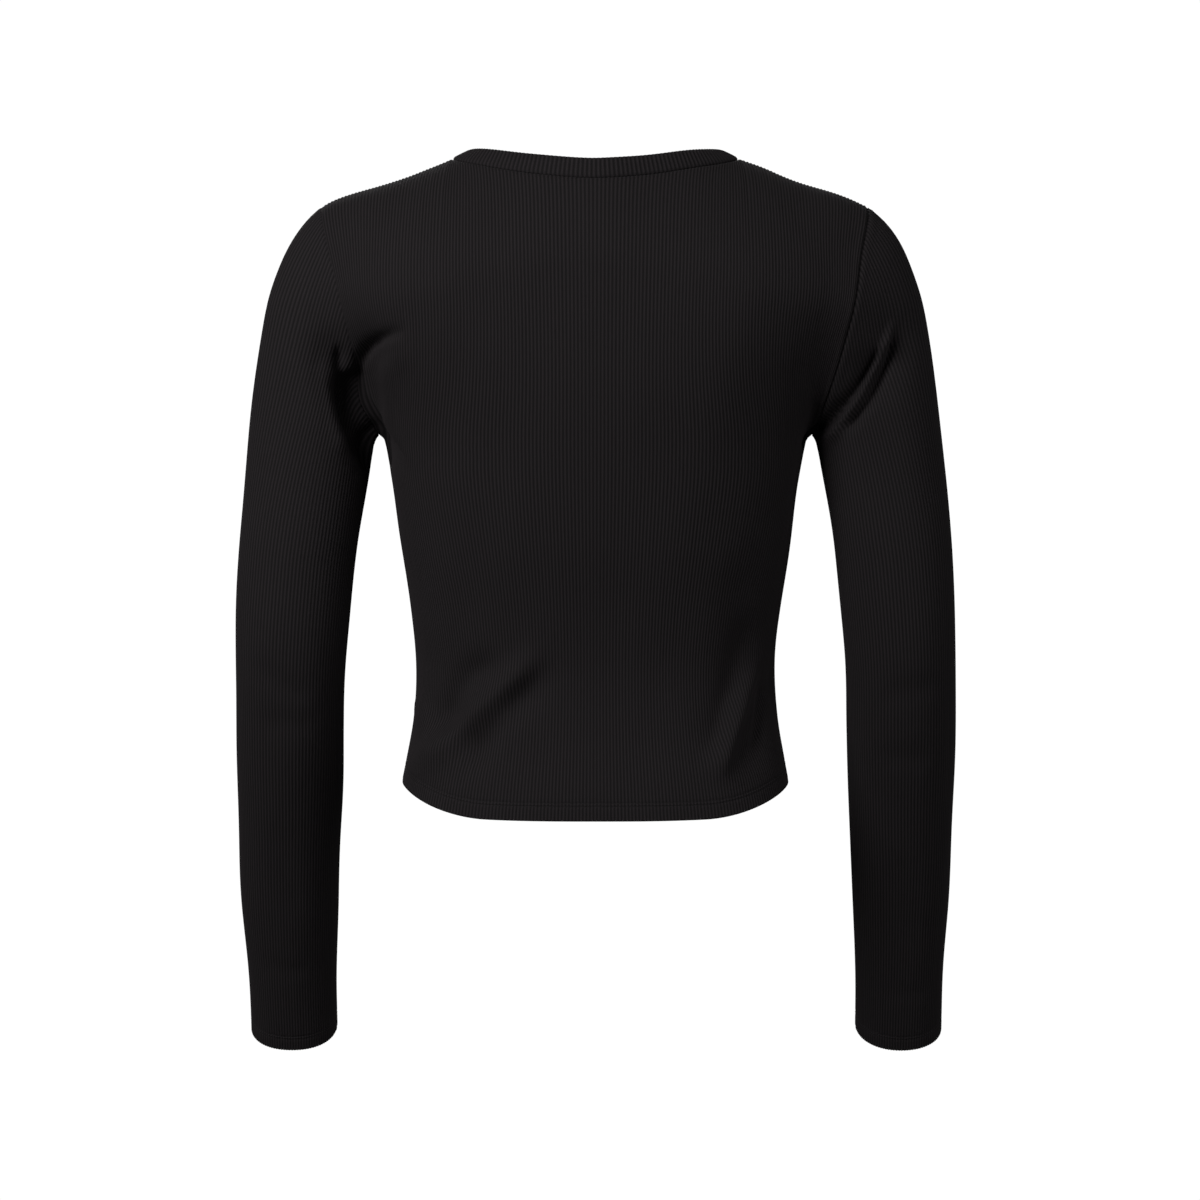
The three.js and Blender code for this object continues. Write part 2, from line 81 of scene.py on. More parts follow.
def smooth_read(knots: Array, values: Array, at: Array) -> Array:
    """Reads a smooth curve that passes through given values.

    Args:
        knots: Rising places of the values.
        values: One value for each knot, of any shape.
        at: Places to read, kept within the knots.

    Returns:
        The values at those places.
    """
    at = np.clip(at, knots[0], knots[-1])
    i = np.clip(np.searchsorted(knots, at) - 1, 0, len(knots) - 2)
    before, after = np.maximum(i - 1, 0), np.minimum(i + 2, len(knots) - 1)
    shape = (-1,) + (1,) * (values.ndim - 1)
    span = (knots[i + 1] - knots[i]).reshape(shape)
    s = (at - knots[i]).reshape(shape) / span
    low, high = values[i], values[i + 1]
    slope_low = (high - values[before]) / (knots[i + 1] - knots[before]).reshape(shape)
    slope_high = (values[after] - low) / (knots[after] - knots[i]).reshape(shape)
    return (
        low * (2 * s**3 - 3 * s**2 + 1)
        + high * (3 * s**2 - 2 * s**3)
        + slope_low * span * (s**3 - 2 * s**2 + s)
        + slope_high * span * (s**3 - s**2)
    )


def pick(line: Array, share: Array) -> Array:
    """Finds places on a line of points.

    Args:
        line: The line's points.
        share: Each place, as a share of the line's number of steps.

    Returns:
        The points there.
    """
    at = np.clip(np.asarray(share, float), 0, 1) * (len(line) - 1)
    i = np.minimum(at.astype(int), len(line) - 2)
    part = (at - i)[..., None]
    return line[i] * (1 - part) + line[i + 1] * part


def spread(line: Array, count: int, rise: float = 1.0) -> Array:
    """Spreads points evenly along a line of points.

    Args:
        line: The line's points.
        count: Number of steps between the new points.
        rise: How much the upright part of a step counts. Less than 1 leaves fewer points on steep parts.

    Returns:
        count + 1 points.
    """
    steps = np.diff(line, axis=0) * np.array([1, 1, rise])
    lengths = np.concatenate([[0], np.cumsum(np.linalg.norm(steps, axis=1))])
    wanted = np.linspace(0, lengths[-1], count + 1)
    return np.stack([np.interp(wanted, lengths, line[:, k]) for k in range(3)], axis=1)


def mirrored(points: Array) -> Array:
    """The same points on the wearer's other side."""
    return points * np.array([-1.0, 1.0, 1.0])


class Table:
    """Rows of numbers under named columns."""

    def __init__(self, columns: str, rows: Sequence[Sequence[float]]) -> None:
        """Keeps the rows.

        Args:
            columns: The columns' names, with spaces between.
            rows: The numbers, row by row.
        """
        self.columns = columns.split()
        self.values = np.array(rows, float)

    def at(self, place: Array) -> dict[str, Array]:
        """Reads every column on a smooth curve through the rows.

        Args:
            place: Values of the first column, which rises from row to row.

        Returns:
            Each column's values there, by its name.
        """
        flat = np.asarray(place, float).ravel()
        found = smooth_read(self.values[:, 0], self.values, flat)
        return {name: found[:, k].reshape(np.shape(place)) for k, name in enumerate(self.columns)}

    def rows(self) -> list[dict[str, float]]:
        """The rows, each as names and numbers."""
        return [dict(zip(self.columns, row)) for row in self.values.tolist()]


# Level rings of the body. half_width reaches to the side seam, a power of 2 makes a ring an ellipse and
# more makes it squarer, and web fills the armpit.
BODY = Table(
    "z half_width back front width_power depth_power web",
    [
        (-480, 148, 106, 106, 2.8, 2.8, 8),
        (-440, 140.5, 100, 101, 2.8, 2.8, 8),
        (-415, 135.5, 95, 98, 2.7, 2.7, 8),
        (-380, 129.5, 84, 93, 2.5, 2.5, 8),
        (-340, 127.4, 78, 91, 2.3, 2.3, 8),
        (-300, 130.7, 81, 98, 2.3, 2.3, 8),
        (-250, 138.2, 89, 114, 2.3, 2.3, 8),
        (-210, 143.3, 94, 122, 2.3, 2.3, 8),
        (-175, 150, 97, 119, 2.3, 2.2, 12),
        (-140, 162, 98, 112, 2.6, 2.1, 22),
        (-100, 184, 96, 101, 3.2, 2.0, 26),
        (-60, 206, 91, 88, 4.0, 1.85, 24),
        (-20, 218, 85, 75, 5.0, 1.7, 32),
        (20, 224, 80, 64, 5.0, 1.7, 32),
        (60, 224, 76, 58, 5.0, 1.7, 32),
    ],
)

# Level rings of the wearer's left arm. The forearm leans forward from the elbow.
ARM = Table(
    "z x y half_width half_depth",
    [
        (-700, 229, -102, 31.5, 34.5),
        (-640, 227, -84, 31.8, 35),
        (-590, 226, -69, 32.4, 35.5),
        (-520, 224.2, -47, 34.9, 37.5),
        (-450, 221.3, -25, 37.5, 40),
        (-390, 218.8, -6, 38.3, 41),
        (-330, 216, 7, 39, 42),
        (-260, 210, 9, 41.1, 43.5),
        (-200, 202.5, 3, 43.2, 45.5),
        (-150, 195.5, 1, 44.5, 47),
        (-100, 186.5, 0, 45, 48),
        (-60, 178.5, 0, 45, 47),
        (0, 174, 0, 44, 46),
    ],
)

# How far out the armhole seam lies at each height, seen from behind and from the front.
ARMHOLE = Table(
    "z BACK FRONT",
    [
        (-200, 150, 150),
        (-178, 152.5, 152),
        (-160, 158, 158),
        (-135, 164, 163),
        (-100, 170.5, 169),
        (-60, 180, 179),
        (-17, 191, 191),
        (20, 194, 194),
    ],
)
ARMHOLE_CENTRE_Z = -100

# The folds, seen from behind or from the front. Each runs from its first point to its last, drawn
# towards the one between. It is width wide on each side, and lean makes it wider to the left of its run
# and steeper to the right. It rises by height, or sinks where height is negative. A crisp fold keeps its
# height almost to its ends. The rows with no crispness are the source's own, and the rest are finer.
FOLDS = Table(
    "face x0 z0 x1 z1 x2 z2 width lean height crisp",
    [
        (1, 188, -96, 180, -146, 156, -178, 13, 0, -7, 0),
        (1, 138, -102, 168, -120, 156, -172, 12, 0, -5, 0),
        (1, -196, -108, -184, -144, -158, -176, 12, 0, -5, 0),
        (1, -214, -84, -208, -132, -180, -158, 12, 0, -4, 0),
        (1, 112, -418, 78, -392, 44, -350, 15, 0, 4, 0),
        (1, 106, -352, 94, -390, 66, -396, 15, 0, -4, 0),
        (1, -122, -326, -110, -376, -100, -414, 14, 0, -5, 0),
        (1, -98, -346, -92, -388, -82, -416, 13, 0, 3, 0),
        (-1, 184, -96, 172, -140, 156, -176, 12, 0, -6, 0),
        (-1, 134, -112, 160, -126, 154, -172, 12, 0, -4, 0),
        (-1, -186, -92, -174, -138, -157, -175, 12, 0, -6, 0),
        (-1, -136, -108, -158, -128, -154, -172, 12, 0, -4, 0),
        (-1, 182, -336, 214, -348, 246, -336, 14, 0, -5, 0),
        (-1, 182, -376, 214, -384, 246, -374, 13, 0, -3.5, 0),
        (-1, -182, -340, -214, -352, -246, -342, 14, 0, -5, 0),
        (-1, -182, -380, -214, -388, -246, -380, 13, 0, -3, 0),
        (-1, -114, -404, -84, -372, -56, -338, 15, 0, -4, 0),
        (-1, 116, -406, 88, -380, 54, -352, 15, 0, -4, 0),
        (1, 124, -101, 200, -118, 128, -200, 4, 0.3, -4.8, 1),
        (1, 113, -111, 178, -130, 122, -198, 9, 0, 1.6, 0.4),
        (1, 172, -131, 167, -160, 151, -208, 8.8, 0, -10.5, 0.8),
        (1, 179, -112, 176, -149, 163, -196, 3.4, -0.3, -5, 1),
        (1, 187, -114, 183, -152, 173, -192, 5, 0, 2.2, 0.6),
        (1, -197, -114, -178, -149, -144, -188, 2.9, 0.2, -6.5, 1),
        (1, -207, -93, -188, -144, -159, -185, 3.2, 0, 4.8, 0.8),
        (1, -207, -104, -204, -138, -168, -176, 3, -0.2, -4.4, 0.9),
        (1, -182, -36, -172, -120, -156, -180, 20, 0, 6.5, 0.05),
        (1, 136, -420, 86, -372, 32, -316, 8.5, 0, 7.5, 0.15),
        (1, 108, -420, 66, -378, 22, -320, 11, 0, -4.6, 0.05),
        (1, 62, -326, 100, -340, 108, -388, 9, 0, -5, 0.2),
        (1, 128, -358, 120, -378, 116, -400, 7, 0, 2.2, 0.2),
        (1, -112, -292, -94, -346, -80, -404, 10, 0, -4, 0.3),
        (1, -116, -330, -101, -368, -82, -412, 7, 0.2, 5.6, 0.3),
        (1, -121, -350, -118, -370, -113, -396, 3.5, 0, -3.5, 0.7),
        (1, -92, -250, -104, -300, -112, -346, 16, 0, -1.6, 0.1),
        (1, 100, -236, 112, -290, 108, -340, 16, 0, 1.2, 0.1),
        (1, 244, -330, 222, -352, 196, -362, 9, 0, -1.4, 0.1),
        (1, 240, -384, 218, -372, 192, -382, 8, 0, -1.1, 0.1),
        (1, 236, -448, 226, -490, 212, -540, 10, 0, -1.2, 0.1),
        (1, -246, -344, -222, -360, -196, -356, 9, 0, -1.3, 0.1),
        (1, -240, -410, -220, -398, -196, -410, 9, 0, -1.2, 0.1),
        (1, -212, -470, -224, -510, -236, -566, 10, 0, -1.3, 0.1),
        (1, 250, -566, 228, -578, 204, -572, 6, 0, -0.8, 0.1),
        (1, -248, -590, -226, -598, -206, -588, 6, 0, -0.8, 0.1),
        (-1, 122, -104, 172, -124, 150, -190, 4.5, 0.2, -4.5, 0.9),
        (-1, 196, -98, 180, -140, 152, -192, 4.5, 0, -4.5, 0.9),
        (-1, 112, -118, 158, -136, 140, -188, 6, 0, 2.4, 0.5),
        (-1, -206, -84, -184, -128, -150, -190, 4.5, 0.2, -5, 0.9),
        (-1, -126, -112, -160, -130, -148, -188, 5, 0, -4, 0.8),
        (-1, -116, -124, -150, -142, -138, -188, 6, 0, 2.2, 0.5),
        (-1, 184, -338, 216, -352, 248, -334, 5, 0.3, -3, 0.5),
        (-1, 188, -358, 214, -366, 242, -356, 7, 0, 2, 0.3),
        (-1, 184, -404, 212, -400, 240, -412, 6, 0, -2, 0.3),
        (-1, -186, -344, -216, -356, -246, -338, 5, 0.3, -3, 0.5),
        (-1, -186, -364, -214, -372, -244, -364, 7, 0, 2, 0.3),
        (-1, -188, -410, -214, -404, -242, -418, 6, 0, -2, 0.3),
        (-1, 120, -350, 84, -372, 40, -376, 8, 0, -2.6, 0.3),
        (-1, -122, -330, -92, -362, -48, -384, 8, 0, -2.8, 0.3),
        (-1, -118, -392, -84, -408, -40, -404, 7, 0, 2, 0.3),
    ],
)
FOLD_STEPS = 10
FOLD_FADE = (4, 24)  # how far behind or before the middle a fold begins, and is whole
CRISP_FADE = (1, 9)  # the same for a crisp fold
ARMS_OUTSIDE_X = 150  # beyond this, the middle is the arm's own


@dataclass(frozen=True)
class WornForm:
    """The form that the cloth takes when it is worn: a body and two arms, run together at the armpits.

    A level is below 0 inside the cloth's outer face, 0 on it and above 0 outside.
    """

    neck_half_width: float = 99
    shoulder_z: float = 14
    shoulder_slope: float = 0.34
    shoulder_dome: float = 90
    neck_rounding: float = 40
    arm_top_z: float = -19
    arm_dome: float = 70
    arm_power: float = 2.1
    body_scale: float = 90  # turns a share of the body's size into millimetres
    arm_scale: float = 44
    slope_step: float = 0.5

    def body_level(self, p: Array, ring: dict[str, Array]) -> Array:
        """The body's own level.

        Args:
            p: The points.
            ring: The body's ring at each.

        Returns:
            The levels, about in millimetres.
        """
        x, y, z = p[..., 0], p[..., 1], p[..., 2]
        depth = np.where(y > 0, ring["back"], ring["front"])
        run = np.hypot(x, self.neck_rounding) - math.hypot(self.neck_half_width, self.neck_rounding)
        ridge = self.shoulder_z - self.shoulder_slope * run
        close = np.maximum(0, 1 - (ridge - z) / self.shoulder_dome)
        power = ring["depth_power"]
        total = (np.abs(x) / ring["half_width"]) ** ring["width_power"]
        total = total + (np.abs(y) / depth) ** power + close**power
        return (total ** (1 / power) - 1) * self.body_scale

    def arm_level(self, p: Array) -> Array:
        """The arms' own level.

        Args:
            p: The points.

        Returns:
            The levels, about in millimetres.
        """
        ring = ARM.at(p[..., 2])
        across = np.abs(np.abs(p[..., 0]) - ring["x"]) / ring["half_width"]
        deep = np.abs(p[..., 1] - ring["y"]) / ring["half_depth"]
        close = np.maximum(0, 1 - (self.arm_top_z - p[..., 2]) / self.arm_dome)
        total = across**self.arm_power + deep**self.arm_power + close**self.arm_power
        return (total ** (1 / self.arm_power) - 1) * self.arm_scale

    def level(self, p: Array) -> Array:
        """The whole form's level, with body and arms run together over the width of the web.

        Args:
            p: The points.

        Returns:
            The levels.
        """
        ring = BODY.at(p[..., 2])
        body, arm, web = self.body_level(p, ring), self.arm_level(p), ring["web"]
        near = np.maximum(web - np.abs(body - arm), 0) / web
        return np.minimum(body, arm) - near * near * web / 4

    def slope(self, p: Array) -> Array:
        """How the level changes along X, Y and Z.

        Args:
            p: The points.

        Returns:
            The changes for each millimetre.
        """
        steps = np.eye(3) * self.slope_step
        around = np.stack([p + step for step in steps] + [p - step for step in steps])
        levels = self.level(around)
        return np.stack([levels[k] - levels[k + 3] for k in range(3)], axis=-1) / (2 * self.slope_step)

    def outward(self, p: Array) -> Array:
        """The form's outward directions at points."""
        return unit(self.slope(p))

    def settle(self, p: Array, rounds: int = 8) -> Array:
        """Moves points that are near the form straight onto it.

        Args:
            p: The points.
            rounds: Number of steps towards it.

        Returns:
            The moved points.
        """
        for _ in range(rounds):
            s = self.slope(p)
            p = p - s * (self.level(p) / (s * s).sum(-1))[..., None]
        return p

    def reach(
        self, inner: Array, direction: Array, limit: float = 400, step: float = 4, halvings: int = 22
    ) -> Array:
        """Finds where ways from inner points meet the form.

        Args:
            inner: Points inside the form.
            direction: A direction for each, of length 1.
            limit: The longest way, in millimetres.
            step: How far apart the form is first looked for.
            halvings: How often that step is then halved.

        Returns:
            The points on the form.
        """
        inner, direction = np.broadcast_arrays(inner, direction)
        far = np.full(len(inner), float(step))
        for _ in range(int(limit / step)):
            inside = self.level(inner + far[:, None] * direction) < 0
            if not inside.any():
                break
            far[inside] += step
        near = far - step
        for _ in range(halvings):
            middle = (near + far) / 2
            inside = self.level(inner + middle[:, None] * direction) < 0
            near, far = np.where(inside, middle, near), np.where(inside, far, middle)
        return inner + far[:, None] * direction


def points(x: Array | float, y: Array | float, z: Array | float) -> Array:
    """Points from their three parts, which may be numbers or rows of numbers."""
    parts = np.broadcast_arrays(*map(np.atleast_1d, (x, y, z)))
    return np.stack([part.astype(float) for part in parts], axis=-1)


@dataclass(frozen=True)
class Creases:
    """The folds that lie on the form, and the slight waves of cloth that nothing holds flat."""

    wave_height: float = 0.35
    wave_count: int = 9
    wave_lengths: tuple[float, float] = (45, 130)
    wave_tilt: float = 0.45  # less than 1 makes them run more up than across
    seed: int = 7

    def fold_height(self, p: Array) -> Array:
        """How far the folds lift the cloth.

        Args:
            p: Points of the form.

        Returns:
            The lift of each point.
        """
        flat = p.reshape(-1, 3)
        middle = np.where(np.abs(flat[:, 0]) > ARMS_OUTSIDE_X, ARM.at(flat[:, 2])["y"], 0)
        total = np.zeros(len(flat))
        for fold in FOLDS.rows():
            margin = 3 * fold["width"] * (1 + abs(fold["lean"]))
            xs, zs = [fold["x0"], fold["x1"], fold["x2"]], [fold["z0"], fold["z1"], fold["z2"]]
            near = (flat[:, 0] > min(xs) - margin) & (flat[:, 0] < max(xs) + margin)
            near &= (flat[:, 2] > min(zs) - margin) & (flat[:, 2] < max(zs) + margin)
            near &= fold["face"] * (flat[:, 1] - middle) > CRISP_FADE[0]
            if near.any():
                total[near] += self.one_fold(flat[near], middle[near], fold)
        return total.reshape(p.shape[:-1])

    def one_fold(self, p: Array, middle: Array, fold: dict[str, float]) -> Array:
        """How far one fold lifts points.

        Args:
            p: The points.
            middle: How far back the middle of the body or arm lies at each.
            fold: The fold's row of the table.

        Returns:
            The lift of each point.
        """
        u = np.linspace(0, 1, FOLD_STEPS + 1)
        weights = np.stack([(1 - u) ** 2, 2 * u * (1 - u), u * u])
        x = weights.T @ np.array([fold["x0"], fold["x1"], fold["x2"]])
        z = weights.T @ np.array([fold["z0"], fold["z1"], fold["z2"]])
        best = np.full(len(p), np.inf)
        share, left = np.zeros(len(p)), np.zeros(len(p))
        for k in range(FOLD_STEPS):
            dx, dz = x[k + 1] - x[k], z[k + 1] - z[k]
            px, pz = p[:, 0] - x[k], p[:, 2] - z[k]
            t = np.clip((px * dx + pz * dz) / (dx * dx + dz * dz), 0, 1)
            away = np.hypot(px - t * dx, pz - t * dz)
            closer = away < best
            best = np.where(closer, away, best)
            share = np.where(closer, (k + t) / FOLD_STEPS, share)
            left = np.where(closer, dx * pz - dz * px, left)
        width = fold["width"] * (1 + fold["lean"] * np.tanh(left / (fold["width"] * 2)))
        crisp = fold["crisp"]
        begins, whole = ((1 - crisp) * soft + crisp * hard for soft, hard in zip(FOLD_FADE, CRISP_FADE))
        facing = smooth_step(begins, whole, fold["face"] * (p[:, 1] - middle))
        # A soft fold fades out over a third of its run at each end, and a crisp one only near them.
        ends = smooth_step(0, 0.35 - 0.2 * crisp, share) * smooth_step(1, 0.7 + 0.2 * crisp, share)
        return fold["height"] * facing * ends * np.exp(-((best / width) ** 2))

    def waves(self, p: Array) -> Array:
        """Slight waves, the same on both sides of a seam because they follow place alone.

        Args:
            p: Points of the form.

        Returns:
            The lift of each point.
        """
        random = np.random.default_rng(self.seed)
        total = np.zeros(p.shape[:-1])
        for _ in range(self.wave_count):
            direction = unit(random.normal(size=3) * np.array([1, 1, self.wave_tilt]))
            length = random.uniform(*self.wave_lengths)
            total += np.sin(p @ direction * (2 * math.pi / length) + random.uniform(0, 2 * math.pi))
        return total * self.wave_height / math.sqrt(self.wave_count / 2)


@dataclass(frozen=True)
class Cut:
    """The seams and edges of the cut, laid on the worn form. Each is a line of points."""

    form: WornForm
    seam_gap: float = 0.08  # the seams' stitches draw two edges this close
    hem_side_z: float = -425
    back_drop: float = 11
    front_drop: float = 8
    hem_turn: tuple[float, float] = (0.14, 0.56)  # where the hem's fall begins and ends, towards the centre
    back_neck_drop: float = 12
    back_neck_power: float = 1.6
    front_neck_drop: float = 95
    front_neck_power: float = 2.3
    armhole_rise: float = 0.6
    armhole_rounds: int = 14  # each brings the seam's shape and its heights closer to one another
    ring_step: float = 20  # the arm's lean is read this far above and below a ring
    ring_turn: float = 120  # height over which the rings turn to lie across the arm
    fine: int = 4

    def armhole(self, face: Face, inset: float, count: int) -> Array:
        """Half of the left armhole, from the underarm up to the shoulder seam.

        Args:
            face: Whether it is the back or the front half.
            inset: How far it is moved towards the body.
            count: Number of steps between its points.

        Returns:
            The points.
        """
        turn = math.pi * (1 - np.linspace(0, 1, count * self.fine + 1))
        direction = points(0, face.value * np.sin(turn), np.cos(turn))
        z = np.full(len(turn), float(ARMHOLE_CENTRE_Z))
        found = direction
        for _ in range(self.armhole_rounds):
            inner = points(ARMHOLE.at(z)[face.name] - inset, 0, ARMHOLE_CENTRE_Z)
            found = self.form.reach(inner, direction)
            z = (z + found[:, 2]) / 2
        return spread(found, count, self.armhole_rise)

    def side_seam(self, top: Array, count: int) -> Array:
        """The left side seam, from the hem up to the underarm.

        Args:
            top: The underarm's point.
            count: Number of steps between its points.

        Returns:
            The points.
        """
        z = np.linspace(self.hem_side_z, top[2], count + 1)
        line = self.form.reach(points(0, top[1], z), points(1, 0, 0))
        line[-1] = top
        return line

    def ridge(self, x: Array, y: float) -> Array:
        """Points of the shoulder's ridge at given distances from the centre."""
        return self.form.reach(points(x, y, ARMHOLE_CENTRE_Z), points(0, 0, 1))

    def shoulder_seam(self, face: Face, outer_end: Array, count: int) -> Array:
        """The left shoulder seam, from the neck out to the armhole.

        Args:
            face: Whether it is the back's edge or the front's.
            outer_end: Its point at the armhole.
            count: Number of steps between its points.

        Returns:
            The points.
        """
        x = np.linspace(self.form.neck_half_width, outer_end[0], count + 1)
        line = self.ridge(x, face.value * self.seam_gap / 2)
        line[-1] = outer_end
        return line

    def neck_seam(self, face: Face, count: int) -> Array:
        """Half of the neck seam, from the centre to the left shoulder.

        Args:
            face: Whether it is the back or the front half.
            count: Number of steps between its points.

        Returns:
            The points.
        """
        half = self.form.neck_half_width
        corner = self.ridge(np.array([half]), face.value * self.seam_gap / 2)[0]
        share = np.linspace(0, 1, count * self.fine + 1)
        if face is Face.BACK:
            drop = self.back_neck_drop * (1 - share**self.back_neck_power)
            inner = points(half * share, 0, corner[2] - drop)
        else:
            turn = math.pi / 2 * share
            x = half * np.sin(turn) ** (2 / self.front_neck_power)
            drop = self.front_neck_drop * np.maximum(np.cos(turn), 0) ** (2 / self.front_neck_power)
            inner = points(x, 0, corner[2] - drop)
        line = self.form.reach(inner, points(0, face.value, 0))
        line[-1] = corner
        return spread(line, count)

    def hem_line(self, face: Face, start: Array, count: int) -> Array:
        """Half of the hem, from the left side seam round to the centre.

        Args:
            face: Whether it is the back or the front half.
            start: Its point at the side seam.
            count: Number of steps between its points.

        Returns:
            The points.
        """
        share = np.linspace(0, 1, count * self.fine + 1)
        deepest = self.back_drop if face is Face.BACK else self.front_drop
        drop = deepest * smooth_step(*self.hem_turn, share)
        turn = math.pi / 2 * share
        inner = points(0, start[1], self.hem_side_z - drop)
        line = self.form.reach(inner, points(np.cos(turn), face.value * np.sin(turn), 0))
        line[0] = start
        return spread(line, count)

    def arm_ring(self, z: float, count: int, bicep_z: float) -> Array:
        """A ring of the left arm across its length.

        Args:
            z: The height of its centre.
            count: Number of points, the first at the sleeve's seam and the next behind it.
            bicep_z: The height below which a ring begins to lie across the arm and not level.

        Returns:
            The points.
        """
        heights = (z, z + self.ring_step, z - self.ring_step)
        ring, above, below = (ARM.at(np.array([at])) for at in heights)
        tilt = smooth_step(bicep_z, bicep_z - self.ring_turn, np.array([z]))
        lean = [(above[name] - below[name]) * tilt for name in ("x", "y")]
        axis = unit(points(*lean, 2 * self.ring_step)[0])
        across = unit(np.array([1.0, 0, 0]) - axis * axis[0])
        back = np.cross(axis, across)
        turn = np.linspace(0, 2 * math.pi, count * self.fine + 1)[:, None]
        direction = unit(back * np.sin(turn) - across * np.cos(turn))
        line = self.form.reach(points(ring["x"], ring["y"], z), direction)
        return spread(line, count)[:count]


# Grids of points. Rows run up and columns run round a piece, anticlockwise from above.


def relax(form: WornForm, grid: Array, fixed_rows: int, tube: bool, rounds: int = 12) -> Array:
    """Evens out a grid on the form, as a stretched net would.

    Args:
        form: The worn form.
        grid: The points.
        fixed_rows: Number of lowest rows that stay where they are.
        tube: Whether the last column meets the first.
        rounds: Number of times that it is evened.

    Returns:
        The new points.
    """
    for _ in range(rounds):
        beside = np.roll(grid, 1, axis=1) + np.roll(grid, -1, axis=1)
        moved = (beside[1:-1] + grid[:-2] + grid[2:]) / 4
        columns = slice(None) if tube else slice(1, -1)
        low = max(fixed_rows, 1)
        settled = form.settle(moved[low - 1 :, columns], 4)
        grid = grid.copy()
        grid[low:-1, columns] = settled
    return grid


def dense_shares(count: int, places: Sequence[tuple[float, float, float]]) -> Array:
    """Shares from 0 to 1 without its ends, closer together round given places.

    Args:
        count: Number of shares.
        places: For each place its share, how far it spreads and how much closer the rows are there.

    Returns:
        The shares.
    """
    share = np.linspace(0, 1, 400)
    weight = 1 + sum(gain * np.exp(-(((share - at) / width) ** 2)) for at, width, gain in places)
    total = np.concatenate([[0], np.cumsum((weight[1:] + weight[:-1]) / 2)])
    return np.interp(np.arange(1, count + 1) / (count + 1), total / total[-1], share)


def resample_rows(
    grid: Array, low: Sequence[float], high: Sequence[float], shares: Array
) -> tuple[Array, Array]:
    """Gives every column rows at set distances from both of its ends.

    Args:
        grid: The points.
        low: Distances from the lower end, rising from 0.
        high: Distances from the upper end, falling to 0.
        shares: Where the rows between those lie.

    Returns:
        The new points, and each one's distance along its column.
    """
    steps = np.linalg.norm(np.diff(grid, axis=0), axis=2)
    lengths = np.concatenate([np.zeros((1, grid.shape[1])), np.cumsum(steps, axis=0)])
    whole = lengths[-1]
    first, last = low[-1], whole - high[0]
    lower = np.array(low)[:, None] + 0 * whole
    between = first + (last - first) * shares[:, None]
    wanted = np.concatenate([lower, between, whole - np.array(high)[:, None]])
    found = np.empty((len(wanted), grid.shape[1], 3))
    for j in range(grid.shape[1]):
        for k in range(3):
            found[:, j, k] = np.interp(wanted[:, j], lengths[:, j], grid[:, j, k])
    return found, wanted


def grid_normals(grid: Array, tube: bool) -> Array:
    """The outward directions of a grid, from its own steps.

    Args:
        grid: The points.
        tube: Whether the last column meets the first.

    Returns:
        A direction at each point.
    """
    if tube:
        across = np.roll(grid, -1, axis=1) - np.roll(grid, 1, axis=1)
    else:
        across = np.gradient(grid, axis=1)
    return unit(np.cross(across, np.gradient(grid, axis=0)))


def distance_to_line(p: Array, line: Array, limit: float) -> Array:
    """How far points are from a line of points.

    Args:
        p: The points, in a grid.
        line: The line's points.
        limit: The greatest distance that matters.

    Returns:
        The distances, none above limit.
    """
    flat = p.reshape(-1, 3)
    best = np.full(len(flat), limit * limit)
    start, step = line[:-1], np.diff(line, axis=0)
    size = np.maximum((step * step).sum(1), 1e-9)
    for a, d, s in zip(start, step, size):
        reach = math.sqrt(s) + limit
        apart = np.abs(flat - a)
        near = np.flatnonzero((apart[:, 2] < reach) & (apart[:, 0] < reach))
        away = flat[near] - a
        t = np.clip(away @ d / s, 0, 1)
        gap = ((away - t[:, None] * d) ** 2).sum(1)
        best[near] = np.minimum(best[near], gap)
    return np.sqrt(best).reshape(p.shape[:-1])


# Meshes.


def add_mesh(
    name: str, vertices: Array, quads: Array, triangles: Array, uvs: Array, flat_from: int
) -> bpy.types.Object:
    """Makes a mesh object in place.

    Args:
        name: The object's name.
        vertices: The points, in millimetres.
        quads: Faces of four corners.
        triangles: Faces of three corners, which follow the quads.
        uvs: A place on the cloth for each corner of each face, in that order.
        flat_from: The first face that is a narrow edge, shaded apart from the cloth's faces.

    Returns:
        The object.
    """
    mesh = bpy.data.meshes.new(name)
    mesh.vertices.add(len(vertices))
    mesh.vertices.foreach_set("co", (np.asarray(vertices) * MM).astype(np.float32).ravel())
    corners = np.concatenate([quads.ravel(), triangles.ravel()]).astype(np.int32)
    mesh.loops.add(len(corners))
    mesh.loops.foreach_set("vertex_index", corners)
    sizes = np.concatenate([np.full(len(quads), 4), np.full(len(triangles), 3)])
    mesh.polygons.add(len(sizes))
    mesh.polygons.foreach_set("loop_start", np.concatenate([[0], np.cumsum(sizes)[:-1]]).astype(np.int32))
    layer = mesh.uv_layers.new(name="Knit")
    layer.data.foreach_set("uv", uvs.astype(np.float32).ravel())
    mesh.polygons.foreach_set("use_smooth", np.arange(len(sizes)) < flat_from)
    mesh.update(calc_edges=True)
    obj = bpy.data.objects.new(name, mesh)
    bpy.context.scene.collection.objects.link(obj)
    return obj


COLUMNS_PER_RIB = 4
NO_TRIANGLES = np.zeros((0, 3), int)


